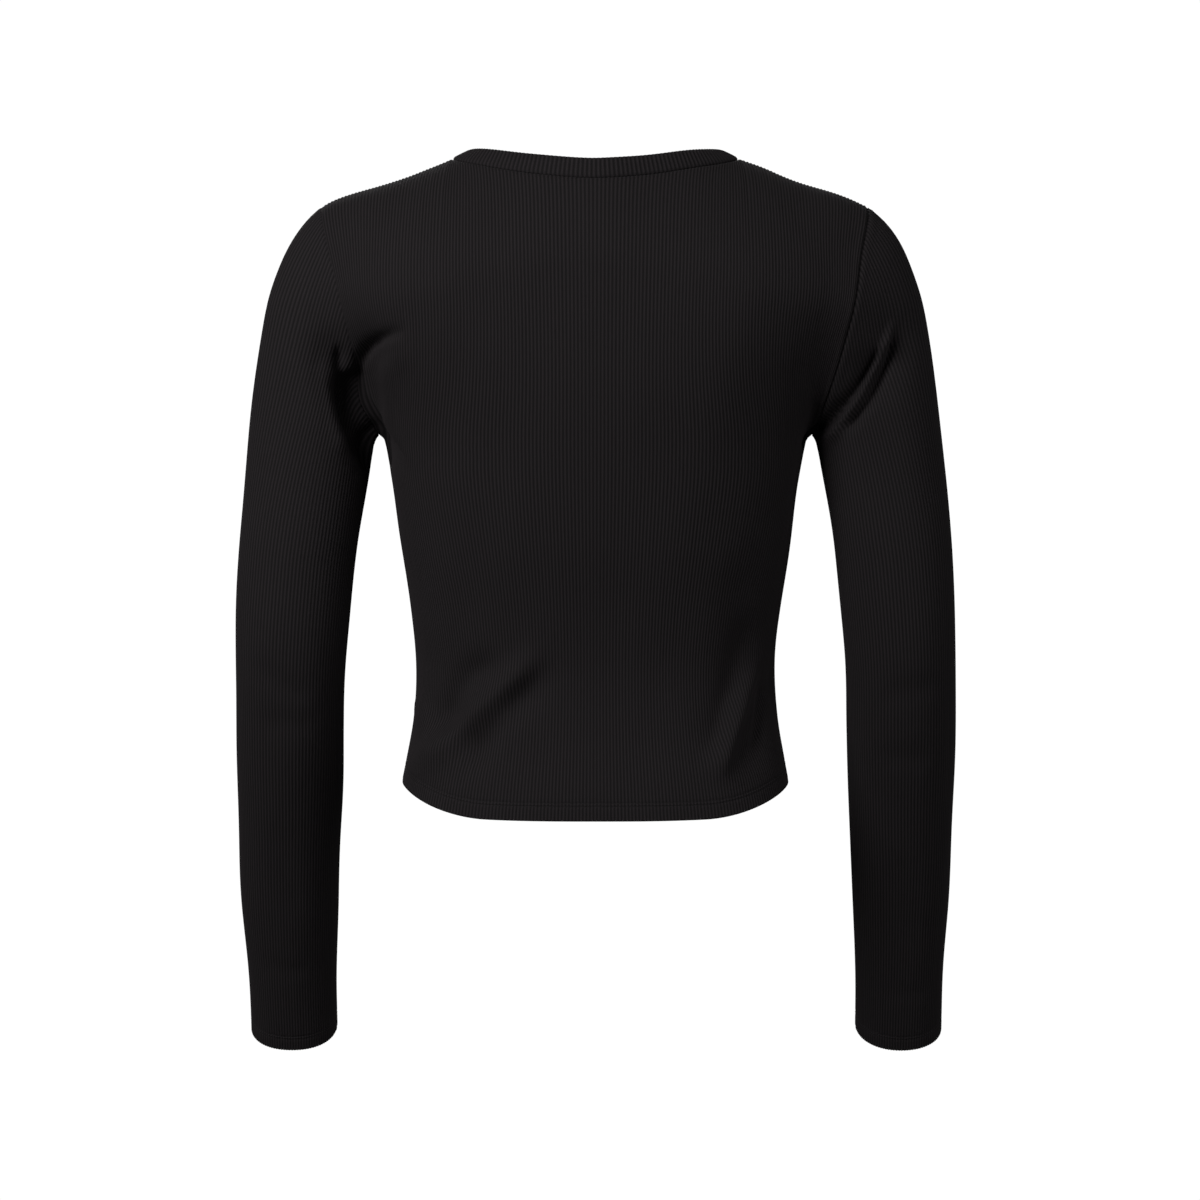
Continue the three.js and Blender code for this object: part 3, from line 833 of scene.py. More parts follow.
@dataclass
class Wall:
    """A wall of cloth: a ribbed outer grid, and an inner one with a column for each rib."""

    name: str
    outer: Array
    inner: Array
    length: Array
    tube: bool

    def build(self) -> bpy.types.Object:
        """Closes the wall and makes its mesh.

        Returns:
            The object.
        """
        rows, columns = self.outer.shape[:2]
        inner_columns = self.inner.shape[1]
        count = rows * columns
        quads, quad_uvs = self.skin(columns, 0, 1, self.length)
        inner_length = self.length[:, ::COLUMNS_PER_RIB]
        more, more_uvs = self.skin(inner_columns, count, COLUMNS_PER_RIB, inner_length)
        more, more_uvs = more[:, ::-1], more_uvs[:, ::-1]
        quads, quad_uvs = [quads, more], [quad_uvs, more_uvs]
        smooth = sum(map(len, quads))
        if not self.tube:
            low = np.arange(rows - 1)
            high = low + 1
            for at, inner_at, turned in ((0, 0, False), (columns - 1, inner_columns - 1, True)):
                a, b = low * columns + at, high * columns + at
                c, d = (count + row * inner_columns + inner_at for row in (high, low))
                edge = np.stack([a, d, c, b] if turned else [a, b, c, d], axis=1)
                quads.append(edge)
                quad_uvs.append(np.full((len(edge), 4, 2), [at / COLUMNS_PER_RIB, 0.0]))
        ends = [self.end(row, columns, inner_columns, count, row > 0) for row in (0, rows - 1)]
        triangles = np.concatenate(ends)
        all_quads = np.concatenate(quads)
        uvs = np.concatenate([np.concatenate(quad_uvs).reshape(-1, 2), np.zeros((triangles.size, 2))])
        vertices = np.concatenate([self.outer.reshape(-1, 3), self.inner.reshape(-1, 3)])
        return add_mesh(self.name, vertices, all_quads, triangles, uvs, smooth)

    def skin(self, columns: int, first: int, rib_step: int, length: Array) -> tuple[Array, Array]:
        """The faces of one skin.

        Args:
            columns: Its number of columns.
            first: The number of its first point.
            rib_step: Columns of the outer grid for each of its own.
            length: Each point's distance along its column.

        Returns:
            The faces, and a place on the cloth for each corner: ribs across, and millimetres along.
        """
        rows = len(length)
        spans = columns if self.tube else columns - 1
        i, j = np.meshgrid(np.arange(rows - 1), np.arange(spans), indexing="ij")
        i, j = i.ravel(), j.ravel()
        corner_rows = np.stack([i, i, i + 1, i + 1], axis=1)
        corner_columns = np.stack([j, j + 1, j + 1, j], axis=1)
        wrapped = corner_columns % columns
        faces = first + corner_rows * columns + wrapped
        across = corner_columns * rib_step / COLUMNS_PER_RIB
        return faces, np.stack([across, length[corner_rows, wrapped]], axis=-1)

    def end(self, row: int, columns: int, inner_columns: int, count: int, top: bool) -> Array:
        """The narrow faces that close the wall along its lowest or highest row.

        Args:
            row: The row.
            columns: Columns of the outer grid.
            inner_columns: Columns of the inner grid.
            count: Number of points of the outer grid.
            top: Whether it is the highest row.

        Returns:
            The triangles.
        """
        ribs = np.arange(columns // COLUMNS_PER_RIB)
        o = [row * columns + (ribs * COLUMNS_PER_RIB + k) % columns for k in range(COLUMNS_PER_RIB + 1)]
        i0 = count + row * inner_columns + ribs
        i1 = count + row * inner_columns + (ribs + 1) % inner_columns
        fans = [(o[0], i0, o[1]), (o[1], i0, o[2]), (o[2], i0, i1), (o[2], i1, o[3]), (o[3], i1, o[4])]
        faces = np.concatenate([np.stack(fan, axis=1) for fan in fans])
        return faces[:, ::-1] if top else faces


# Finishes.


def linear(hex_colour: str) -> tuple[float, float, float, float]:
    """Turns an sRGB hex colour into linear red, green, blue and alpha."""
    parts = [int(hex_colour[i : i + 2], 16) / 255 for i in (1, 3, 5)]
    return tuple(c / 12.92 if c <= 0.04045 else ((c + 0.055) / 1.055) ** 2.4 for c in parts) + (1.0,)


def add_node(
    tree: bpy.types.NodeTree, kind: str, settings: dict | None = None, links: dict | None = None
) -> bpy.types.Node:
    """Adds a node with its settings and links.

    Args:
        tree: The material's tree.
        kind: The node's type name.
        settings: Values by name, of the node itself or of its inputs.
        links: Sockets by the name or number of the input that each one feeds.

    Returns:
        The node.
    """
    node = tree.nodes.new(kind)
    for name, value in (settings or {}).items():
        if isinstance(name, str) and hasattr(node, name):
            setattr(node, name, value)
        else:
            node.inputs[name].default_value = value
    for name, socket in (links or {}).items():
        tree.links.new(socket, node.inputs[name])
    return node


@dataclass(frozen=True)
class RibKnit:
    """Black cotton and elastane rib knit: matt, with a faint bloom of loose fibre where it turns away, and
    painted shade darkening the furrows between its ribs.
    """

    colour: str = "#242022"
    furrow_shade_colour: str = "#0e0c0d"  # painted shade: the knit's colour darkened between the ribs, where the knit lies deeper
    cloud: float = 0.12  # how much the dye varies
    clouds_a_metre: float = 18
    roughness: float = 0.88
    specular: float = 0.2
    sheen: float = 0.05
    sheen_roughness: float = 0.45
    sheen_colour: str = "#8c8a8b"
    stitch_mm: float = 1.6  # real knit loops are about 0.8 mm long, and are drawn twice that to show
    stitch_relief_mm: float = 0.05
    fuzz_mm: float = 0.9  # how far apart tufts of loose fibre lie, each fibre being far finer

    def material(self) -> bpy.types.Material:
        """Makes the material.

        Returns:
            The material.
        """
        made = bpy.data.materials.new("black_rib_knit")
        made.use_nodes = True
        tree = made.node_tree
        tree.nodes.clear()
        place = add_node(tree, "ShaderNodeTexCoord").outputs["Object"]
        knit = add_node(tree, "ShaderNodeUVMap", {"uv_map": "Knit"}).outputs["UV"]
        parts = add_node(tree, "ShaderNodeSeparateXYZ", links={0: knit})
        fibre_settings = {"Scale": 1 / (self.fuzz_mm * MM), "Detail": 3.0}
        fibre = add_node(tree, "ShaderNodeTexNoise", fibre_settings, {"Vector": place})
        cloud_settings = {"Scale": self.clouds_a_metre, "Detail": 4.0}
        cloud = add_node(tree, "ShaderNodeTexNoise", cloud_settings, {"Vector": place})
        found = {
            "across": parts.outputs["X"],
            "up": parts.outputs["Y"],
            "fibre": fibre.outputs["Fac"],
            "cloud": cloud.outputs["Fac"],
        }
        # Each row names a socket, and makes it by a sum on a socket and a number or another socket.
        sums = (
            ("rib", "FRACT", "across", 0.0),
            ("beside", "SUBTRACT", "rib", 0.5),
            ("slant", "ABSOLUTE", "beside", 0.0),
            ("loop", "DIVIDE", "up", self.stitch_mm),
            ("slanted", "ADD", "loop", "slant"),
            ("loop_turn", "MULTIPLY", "slanted", 2 * math.pi),
            ("loop_wave", "SINE", "loop_turn", 0.0),
            ("loops", "MULTIPLY", "loop_wave", 0.5),
            ("height", "ADD", "loops", "fibre"),
            # The next two rows are painted shade: darkest midway between the ribs, lightest on their
            # crests.
            ("rib_turn", "MULTIPLY", "across", 2 * math.pi),
            ("painted_furrow_shade", "COSINE", "rib_turn", 0.0),
            ("cloud_share", "SUBTRACT", "cloud", 0.5),
            ("dye", "MULTIPLY", "cloud_share", self.cloud),
            ("shade", "ADD", "painted_furrow_shade", "dye"),
        )
        for name, operation, first, second in sums:
            settings, links = {"operation": operation}, {0: found[first]}
            if second in found:
                links[1] = found[second]
            else:
                settings[1] = second
            found[name] = add_node(tree, "ShaderNodeMath", settings, links).outputs[0]
        relief = {"Strength": 0.7, "Distance": self.stitch_relief_mm * MM}
        bump = add_node(tree, "ShaderNodeBump", relief, {"Height": found["height"]})
        # The tint mixes the knit's colour on the rib crests with painted shade between the ribs, and adds
        # the dye's random variation.
        whole_turn = {"From Min": -1.0, "From Max": 1.0}
        shade = add_node(tree, "ShaderNodeMapRange", whole_turn, {"Value": found["shade"]})
        tint = add_node(
            tree,
            "ShaderNodeMix",
            {"data_type": "RGBA", 6: linear(self.furrow_shade_colour), 7: linear(self.colour)},
            {0: shade.outputs["Result"]},
        )
        surface = add_node(
            tree,
            "ShaderNodeBsdfPrincipled",
            {
                "Roughness": self.roughness,
                "Specular IOR Level": self.specular,
                "Sheen Weight": self.sheen,
                "Sheen Roughness": self.sheen_roughness,
                "Sheen Tint": linear(self.sheen_colour),
            },
            {"Base Color": tint.outputs[2], "Normal": bump.outputs["Normal"]},
        )
        add_node(tree, "ShaderNodeOutputMaterial", links={"Surface": surface.outputs["BSDF"]})
        return made


@dataclass(frozen=True)
class SewingThread:
    """Black spun polyester sewing thread: twisted, and a little glossier than the knit."""

    colour: str = "#1a1819"
    roughness: float = 0.7
    specular: float = 0.25
    twist_mm: float = 0.45
    twist_relief_mm: float = 0.05
    band_spacing: float = 0.31  # in metres, what a wave texture of scale 1 draws

    def material(self) -> bpy.types.Material:
        """Makes the material.

        Returns:
            The material.
        """
        made = bpy.data.materials.new("black_sewing_thread")
        made.use_nodes = True
        tree = made.node_tree
        tree.nodes.clear()
        place = add_node(tree, "ShaderNodeTexCoord").outputs["Object"]
        bands = {"Scale": self.band_spacing / (self.twist_mm * MM), "bands_direction": "DIAGONAL"}
        twist = add_node(tree, "ShaderNodeTexWave", bands, {"Vector": place})
        relief = {"Strength": 0.5, "Distance": self.twist_relief_mm * MM}
        bump = add_node(tree, "ShaderNodeBump", relief, {"Height": twist.outputs["Fac"]})
        finish = {
            "Base Color": linear(self.colour),
            "Roughness": self.roughness,
            "Specular IOR Level": self.specular,
        }
        surface = add_node(tree, "ShaderNodeBsdfPrincipled", finish, {"Normal": bump.outputs["Normal"]})
        add_node(tree, "ShaderNodeOutputMaterial", links={"Surface": surface.outputs["BSDF"]})
        return made


# Pieces of the garment.


STITCH_LINES = (10.0, 12.3)  # distances from the edge of a hem or cuff


@dataclass(frozen=True)
class Relief:
    """The small relief of a knitted and sewn piece."""

    cloth: float = 1.1  # one layer, without its ribs
    turned_cloth: float = 1.9  # the two layers of a hem, pressed by their stitches
    rib_height: float = 0.27
    seam_depth: float = 1.0
    seam_width: float = 1.0
    seam_puff: float = 0.35
    puff_place: float = 3.2  # how far from the seam the cloth is highest
    puff_width: float = 1.9
    hem_edge: float = 0.8
    groove_depth: float = 0.55
    groove_width: float = 0.5
    groove_lip: float = 0.15
    pressing: float = 0.8  # the share of a rib's height that a stitch line or seam takes away

    def seam(self, away: Array) -> Array:
        """How a seam draws the cloth in, and lifts it beside that, at distances from it."""
        puff = np.exp(-(((away - self.puff_place) / self.puff_width) ** 2))
        return self.seam_puff * puff - self.seam_depth * np.exp(-((away / self.seam_width) ** 2))

    def outer(self, ribs: Array, length: Array, seam: Array) -> Array:
        """How far the outer face stands out from the plain cloth.

        Args:
            ribs: Each point's place across the cloth, in ribs.
            length: Each point's distance from the hem.
            seam: How far the nearest seam lifts each point.

        Returns:
            The heights.
        """
        # No two ribs are quite alike, nor the same all along.
        even = 1 + 0.12 * np.sin(ribs * 1.7 + length * 0.021) + 0.08 * np.sin(ribs * 0.37 - length * 0.043)
        pressed = np.ones_like(length)
        lift = np.zeros_like(length)
        for line in STITCH_LINES:
            hollow = np.exp(-(((length - line) / self.groove_width) ** 2))
            lift = lift - self.groove_depth * hollow
            pressed = pressed * (1 - self.pressing * hollow)
        lip = (length - sum(STITCH_LINES) / 2) / self.groove_width
        lift = lift + self.groove_lip * np.exp(-(lip**2))
        turned = np.clip(1 - length / self.hem_edge, 0, 1)
        lift = lift - self.hem_edge * (1 - np.sqrt(1 - turned**2)) * 0.9
        roll = np.clip(-seam / self.seam_depth, 0, 1)
        pressed = pressed * (1 - self.pressing * roll)
        return lift + seam + self.rib_height * even * pressed * np.cos(2 * math.pi * ribs)

    def thickness(self, length: Array) -> Array:
        """The wall's thickness at each distance from the hem."""
        hem = 1 - smooth_step(STITCH_LINES[1] + 0.2, STITCH_LINES[1] + 1.6, length)
        return self.cloth + (self.turned_cloth - self.cloth) * hem


FINE_ROWS = 4  # rows of a fine grid for each row of the net that it is read from
HEM_ROWS = (0, 0.25, 0.6, 1.2, 2.4, 4.4, 6.6, 8.4, 9.3, 10.0, 10.7, 11.15, 11.6, 12.3, 13.0, 14.0, 16.0)
SEAM_ROWS = (5.2, 3.2, 2.0, 1.2, 0.6, 0)
SEAM_REACH = 9.0  # how far from a seam its relief is worked out
SIDE_DEPTH = 0.8
SHOULDER_DEPTH = 0.6
NECK_DEPTH = 0.8
ARMHOLE_DEPTH = 0.35  # a share of the seam depth, since these seams lie flat
DRAWN_ARMHOLE_DEPTH = 1.2  # behind the right arm, the seam is drawn in to a dark line
DRAWN_FROM = 0.07  # where that begins, as a share of the seam from the underarm to the shoulder


@dataclass
class KnitPiece:
    """A knitted piece of the garment, cut and sewn to its neighbours."""

    name: str
    cut: Cut
    creases: Creases
    relief: Relief
    ribs: int
    rows: int
    tube: bool = False
    stitch_rows: tuple[int, ...] = tuple(HEM_ROWS.index(line) for line in STITCH_LINES)
    outer_grid: Array | None = field(default=None, repr=False)

    def make(self, grid: Array, length: Array, seams: list[tuple[Array, float]]) -> bpy.types.Object:
        """Lays folds, ribs, seams and hem on a fine grid of the form, and makes the mesh.

        Args:
            grid: The points.
            length: Each point's distance from the hem.
            seams: The piece's sewn edges, and how deep each one draws the cloth in.

        Returns:
            The object.
        """
        lift = self.creases.fold_height(grid) + self.creases.waves(grid)
        smooth = grid + self.cut.form.outward(grid) * lift[..., None]
        normals = grid_normals(smooth, self.tube)
        drawn = [
            self.relief.seam(distance_to_line(grid, line, SEAM_REACH)) * depth for line, depth in seams
        ]
        seam = np.stack(drawn)[np.argmax(np.abs(drawn), axis=0), *np.indices(length.shape)]
        ribs = np.broadcast_to(np.arange(grid.shape[1]) / COLUMNS_PER_RIB, length.shape)
        outer = smooth + normals * self.relief.outer(ribs, length, seam)[..., None]
        every = slice(None, None, COLUMNS_PER_RIB)
        thick = self.relief.thickness(length[:, every])[..., None]
        inner = (smooth - normals * self.relief.rib_height)[:, every] - normals[:, every] * thick
        self.outer_grid = outer
        return Wall(self.name, outer, inner, length, self.tube).build()

    def stitched_rows(self) -> list[Array]:
        """The outer face's points along each stitched row, smoothed over the ribs.

        Returns:
            The points, row by row.
        """
        lines = []
        for row in self.stitch_rows:
            line = self.outer_grid[row]
            total = sum(np.roll(line, k, axis=0) for k in range(-2, 3)) / 5
            lines.append(total if self.tube else total[3:-3])
        return lines


@dataclass
class Panel(KnitPiece):
    """The back or the front, from side seam to side seam."""

    face: Face = Face.BACK
    underarm_share: float = 0.5  # share of the rows that lie below the underarm
    corner: float = 0.235  # share of the columns that run into one shoulder seam
    edge_steps: int = 200
    net_columns: int = 40
    net_rows: int = 32
    # At the armpits and above the hem, where the finest creases lie.
    dense: tuple[tuple[float, float, float], ...] = ((0.65, 0.09, 2.2), (0.12, 0.09, 0.9))

    def edges(self) -> tuple[Callable, Callable, Callable, list[tuple[Array, float]]]:
        """The panel's outline.

        Returns:
            The left side by height, the hem and the top by the share across, and the sewn edges with how
            deep each one is.
        """
        cut, count = self.cut, self.edge_steps
        arm = cut.armhole(self.face, cut.seam_gap / 2, count)
        arm[0, 1] = arm[-1, 1] = self.face.value * cut.seam_gap / 2
        side = cut.side_seam(arm[0], count)
        hem = cut.hem_line(self.face, side[0], count)
        neck = cut.neck_seam(self.face, count)
        shoulder = cut.shoulder_seam(self.face, arm[-1], count)

        def up_side(t: Array) -> Array:
            """The left side seam and armhole.

            Args:
                t: Shares of the height.

            Returns:
                The points.
            """
            low = pick(side, t / self.underarm_share)
            high = pick(arm, (t - self.underarm_share) / (1 - self.underarm_share))
            return np.where((t < self.underarm_share)[:, None], low, high)

        def hem_edge(s: Array) -> Array:
            """The hem, by the share from the left side seam to the right one."""
            line = pick(hem, 2 * np.minimum(s, 1 - s))
            return np.where((s <= 0.5)[:, None], line, mirrored(line))

        def top_edge(s: Array) -> Array:
            """The shoulder seams and neck.

            Args:
                s: Shares from left to right.

            Returns:
                The points.
            """
            share = np.minimum(s, 1 - s)
            line = np.where(
                (share < self.corner)[:, None],
                pick(shoulder, 1 - share / self.corner),
                pick(neck, 1 - (share - self.corner) / (0.5 - self.corner)),
            )
            return np.where((s <= 0.5)[:, None], line, mirrored(line))

        seams = [(side, SIDE_DEPTH), (shoulder, SHOULDER_DEPTH), (neck, NECK_DEPTH)]
        seams += [(mirrored(line), depth) for line, depth in seams]
        seams += [(arm, ARMHOLE_DEPTH), (mirrored(arm), ARMHOLE_DEPTH)]
        if self.face is Face.BACK:
            seams.append((mirrored(arm)[int(DRAWN_FROM * count) :], DRAWN_ARMHOLE_DEPTH))
        return up_side, hem_edge, top_edge, seams

    def patch(self, s: Array, t: Array, up_side: Callable, hem_edge: Callable, top_edge: Callable) -> Array:
        """Stretches a grid straight between the panel's four edges.

        Args:
            s: Shares across.
            t: Shares of the height.
            up_side: The left side.
            hem_edge: The hem.
            top_edge: The top.

        Returns:
            The points.
        """
        left = up_side(t)[:, None]
        low, high = hem_edge(s)[None], top_edge(s)[None]
        s, t = s[None, :, None], t[:, None, None]
        grid = low * (1 - t) + high * t + left * (1 - s) + mirrored(left) * s
        corners = (low[:, :1], low[:, -1:], high[:, :1], high[:, -1:])
        weights = ((1 - s) * (1 - t), s * (1 - t), (1 - s) * t, s * t)
        return grid - sum(c * w for c, w in zip(corners, weights))

    def build(self) -> bpy.types.Object:
        """Makes the panel.

        Returns:
            The object.
        """
        up_side, hem_edge, top_edge, seams = self.edges()
        s = np.linspace(0, 1, self.net_columns + 1)
        t = np.linspace(0, 1, self.net_rows + 1)
        net = self.patch(s, t, up_side, hem_edge, top_edge)
        net[1:-1, 1:-1] = self.cut.form.settle(net[1:-1, 1:-1])
        net = relax(self.cut.form, net, 1, False)
        fine_s = np.linspace(0, 1, self.ribs * COLUMNS_PER_RIB + 1)
        fine_t = np.linspace(0, 1, self.net_rows * FINE_ROWS + 1)
        grid = smooth_read(t, net, fine_t)
        grid = smooth_read(s, grid.transpose(1, 0, 2), fine_s).transpose(1, 0, 2)
        # The fine grid is moved so that its edges lie exactly on the seams and hem.
        exact = self.patch(fine_s, fine_t, up_side, hem_edge, top_edge)
        grid += self.edge_error(grid, exact, fine_s, fine_t)
        grid[1:-1, 1:-1] = self.cut.form.settle(grid[1:-1, 1:-1], 3)
        shares = dense_shares(self.rows - len(HEM_ROWS) - len(SEAM_ROWS), self.dense)
        grid, length = resample_rows(grid, HEM_ROWS, SEAM_ROWS, shares)
        grid[1:-1, 1:-1] = self.cut.form.settle(grid[1:-1, 1:-1], 2)
        if self.face is Face.FRONT:
            grid, length = grid[:, ::-1], length[:, ::-1]
        return self.make(grid, length, seams)

    @staticmethod
    def edge_error(grid: Array, exact: Array, s: Array, t: Array) -> Array:
        """How far each point must move for the grid's edges to lie where they should, faded inwards.

        Args:
            grid: The points.
            exact: A grid whose edges lie where they should.
            s: Shares across.
            t: Shares of the height.

        Returns:
            The moves.
        """
        error = exact - grid
        s, t = s[None, :, None], t[:, None, None]
        fade = 6  # the higher, the nearer to the edges the moves stay
        sides = error[:, :1] * (1 - s) ** fade + error[:, -1:] * s**fade
        ends = (error - sides)[:1] * (1 - t) ** fade + (error - sides)[-1:] * t**fade
        return sides + ends


@dataclass
class Sleeve(KnitPiece):
    """A set-in sleeve, from the cuff up to the armhole seam."""

    arm: Arm = Arm.LEFT
    tube: bool = True
    cuff_z: float = -631.5
    bicep_z: float = -222
    net_columns: int = 52
    arm_rows: int = 30
    cap_rows: int = 14
    dense: tuple[tuple[float, float, float], ...] = ((0.83, 0.09, 2.6),)  # at the armpit

    def armhole_ring(self, count: int) -> Array:
        """The whole armhole seam, from the underarm and first behind it.

        Args:
            count: Number of points.

        Returns:
            The ring of points.
        """
        half = count // 2
        inset = -self.cut.seam_gap / 2
        back, front = (self.cut.armhole(face, inset, half) for face in (Face.BACK, Face.FRONT))
        return np.concatenate([back, front[1:-1][::-1]])

    def build(self) -> bpy.types.Object:
        """Makes the sleeve.

        Returns:
            The object.
        """
        cut, count = self.cut, self.net_columns
        fine_count = self.ribs * COLUMNS_PER_RIB
        heights = np.linspace(self.cuff_z, self.bicep_z, self.arm_rows + 1)
        lower = np.stack([cut.arm_ring(z, count, self.bicep_z) for z in heights])
        seam = self.armhole_ring(count)
        share = (np.arange(1, self.cap_rows + 1) / self.cap_rows)[:, None, None]
        cap = lower[-1] * (1 - share) + seam * share
        cap[:-1] = cut.form.settle(cap[:-1])
        net = relax(cut.form, np.concatenate([lower, cap]), len(lower) - 3, True)

        rows = np.arange(len(net))
        fine_rows = np.linspace(0, len(net) - 1, (len(net) - 1) * FINE_ROWS + 1)
        wrapped = np.concatenate([net[:, -2:], net, net[:, :2]], axis=1)
        knots = np.arange(-2, count + 2)
        fine_columns = np.arange(fine_count) * count / fine_count
        grid = smooth_read(rows, wrapped, fine_rows).transpose(1, 0, 2)
        grid = smooth_read(knots, grid, fine_columns).transpose(1, 0, 2)
        cuff_error = cut.arm_ring(self.cuff_z, fine_count, self.bicep_z) - grid[0]
        seam_error = self.armhole_ring(fine_count) - grid[-1]
        part = (fine_rows / fine_rows[-1])[:, None, None]
        fade = 12  # the higher, the nearer to the ends the moves stay
        grid = grid + cuff_error * (1 - part) ** fade + seam_error * part**fade
        grid[1:-1] = cut.form.settle(grid[1:-1], 3)
        shares = dense_shares(self.rows - len(HEM_ROWS) - len(SEAM_ROWS), self.dense)
        grid, length = resample_rows(grid, HEM_ROWS, SEAM_ROWS, shares)
        grid[1:-1] = cut.form.settle(grid[1:-1], 2)
        own_seam = grid[:, 0]
        ring = np.concatenate([grid[-1], grid[-1, :1]])
        if self.arm is Arm.LEFT:
            grid, length = (np.roll(a[:, ::-1], 1, axis=1) for a in (grid, length))
            return self.make(grid, length, [(own_seam, SIDE_DEPTH), (ring, ARMHOLE_DEPTH)])
        grid, own_seam, ring = mirrored(grid), mirrored(own_seam), mirrored(ring)
        behind = ring[int(DRAWN_FROM * fine_count / 2) : fine_count // 2 + 1]
        seams = [(own_seam, SIDE_DEPTH), (ring, ARMHOLE_DEPTH), (behind, DRAWN_ARMHOLE_DEPTH)]
        return self.make(grid, length, seams)


@dataclass
class NeckBand(KnitPiece):
    """A folded strip of the knit that stands up from the neck seam."""

    height: float = 14
    side_lift: float = 0.12  # how far it turns up from the cloth below it, as a share of its height
    back_lift: float = 1.0
    front_lift: float = 0.25
    columns_per_rib: int = 6
    edge_steps: int = 150
    smoothing: float = 9
    rib_height: float = 0.3
    section: Table = field(
        default_factory=lambda: Table(
            "up out ribbed",
            [
                (-0.06, -0.9, 0),
                (0, 0.5, 0),
                (0.05, 1.0, 0.4),
                (0.14, 1.3, 1),
                (0.35, 1.4, 1),
                (0.6, 1.38, 1),
                (0.82, 1.25, 1),
                (0.94, 0.85, 0.9),
                (1, 0.3, 0.6),
                (1, -0.3, 0.6),
                (0.94, -0.85, 0.9),
                (0.8, -1.25, 1),
                (0.45, -1.4, 1),
                (0.12, -1.25, 1),
            ],
        )
    )

    def seam_ring(self, count: int) -> Array:
        """The neck seam, anticlockwise from above.

        Args:
            count: Number of points.

        Returns:
            The ring of points.
        """
        back, front = (self.cut.neck_seam(face, self.edge_steps) for face in (Face.BACK, Face.FRONT))
        back[-1, 1] = front[-1, 1] = 0
        halves = np.concatenate([back[::-1], mirrored(back)[1:], mirrored(front)[-2::-1], front[1:]])
        return spread(halves, count)[:count]

    def smoothed(self, vectors: Array, step: float) -> Array:
        """Evens directions round the ring, so that the band doesn't fold at the shoulders.

        Args:
            vectors: A direction at each point of the ring.
            step: How far apart the points are.

        Returns:
            The directions.
        """
        reach = int(3 * self.smoothing / step)
        weights = np.exp(-((np.arange(-reach, reach + 1) * step / self.smoothing) ** 2))
        total = sum(w * np.roll(vectors, k, axis=0) for k, w in zip(range(-reach, reach + 1), weights))
        return unit(total)

    def build(self) -> bpy.types.Object:
        """Makes the band.

        Returns:
            The object.
        """
        count = self.ribs * self.columns_per_rib
        seam = self.seam_ring(count)
        step = np.linalg.norm(np.diff(seam, axis=0), axis=1).mean()
        lifted = self.cut.form.outward(seam)
        fold = self.creases.waves(seam)[:, None]
        normal = self.smoothed(lifted, step)
        round_it = self.smoothed(np.roll(seam, -1, axis=0) - np.roll(seam, 1, axis=0), step)
        central = 1 - (seam[:, :1] / self.cut.form.neck_half_width) ** 2
        most = np.where(seam[:, 1:2] > 0, self.back_lift, self.front_lift)
        lift = self.side_lift + (most - self.side_lift) * central
        up = unit(unit(np.cross(normal, round_it)) + lift * np.array([0, 0, 1]))
        out = unit(np.cross(round_it, up))
        root = seam + lifted * (fold - self.relief.cloth / 2) + up * self.cut.seam_gap * (1 + lift)
        rows = self.section.rows()
        ripple = np.cos(2 * math.pi * np.arange(count) / self.columns_per_rib)[:, None]
        outline = []
        for row in rows:
            side = math.copysign(1.0, row["out"])
            reach = row["out"] + side * self.rib_height * row["ribbed"] * ripple
            # The lowest row reaches down behind the panel only where the band stands up from it.
            rise = np.maximum(row["up"], row["up"] * lift) * self.height
            outline.append(root + up * rise + out * reach)
        grid = np.stack(outline, axis=1)
        size = len(rows)
        j, k = (a.ravel() for a in np.meshgrid(np.arange(count), np.arange(size), indexing="ij"))
        corner_columns = np.stack([j, j, j + 1, j + 1], axis=1)
        corner_rows = np.stack([k, k + 1, k + 1, k], axis=1)
        faces = (corner_columns % count) * size + corner_rows % size
        lengths = np.array([row["up"] * self.height for row in rows])
        uvs = np.stack([corner_columns / self.columns_per_rib, lengths[corner_rows % size]], axis=-1)
        faces, uvs = faces[:, ::-1], uvs[:, ::-1]
        return add_mesh(self.name, grid.reshape(-1, 3), faces, NO_TRIANGLES, uvs, len(faces))


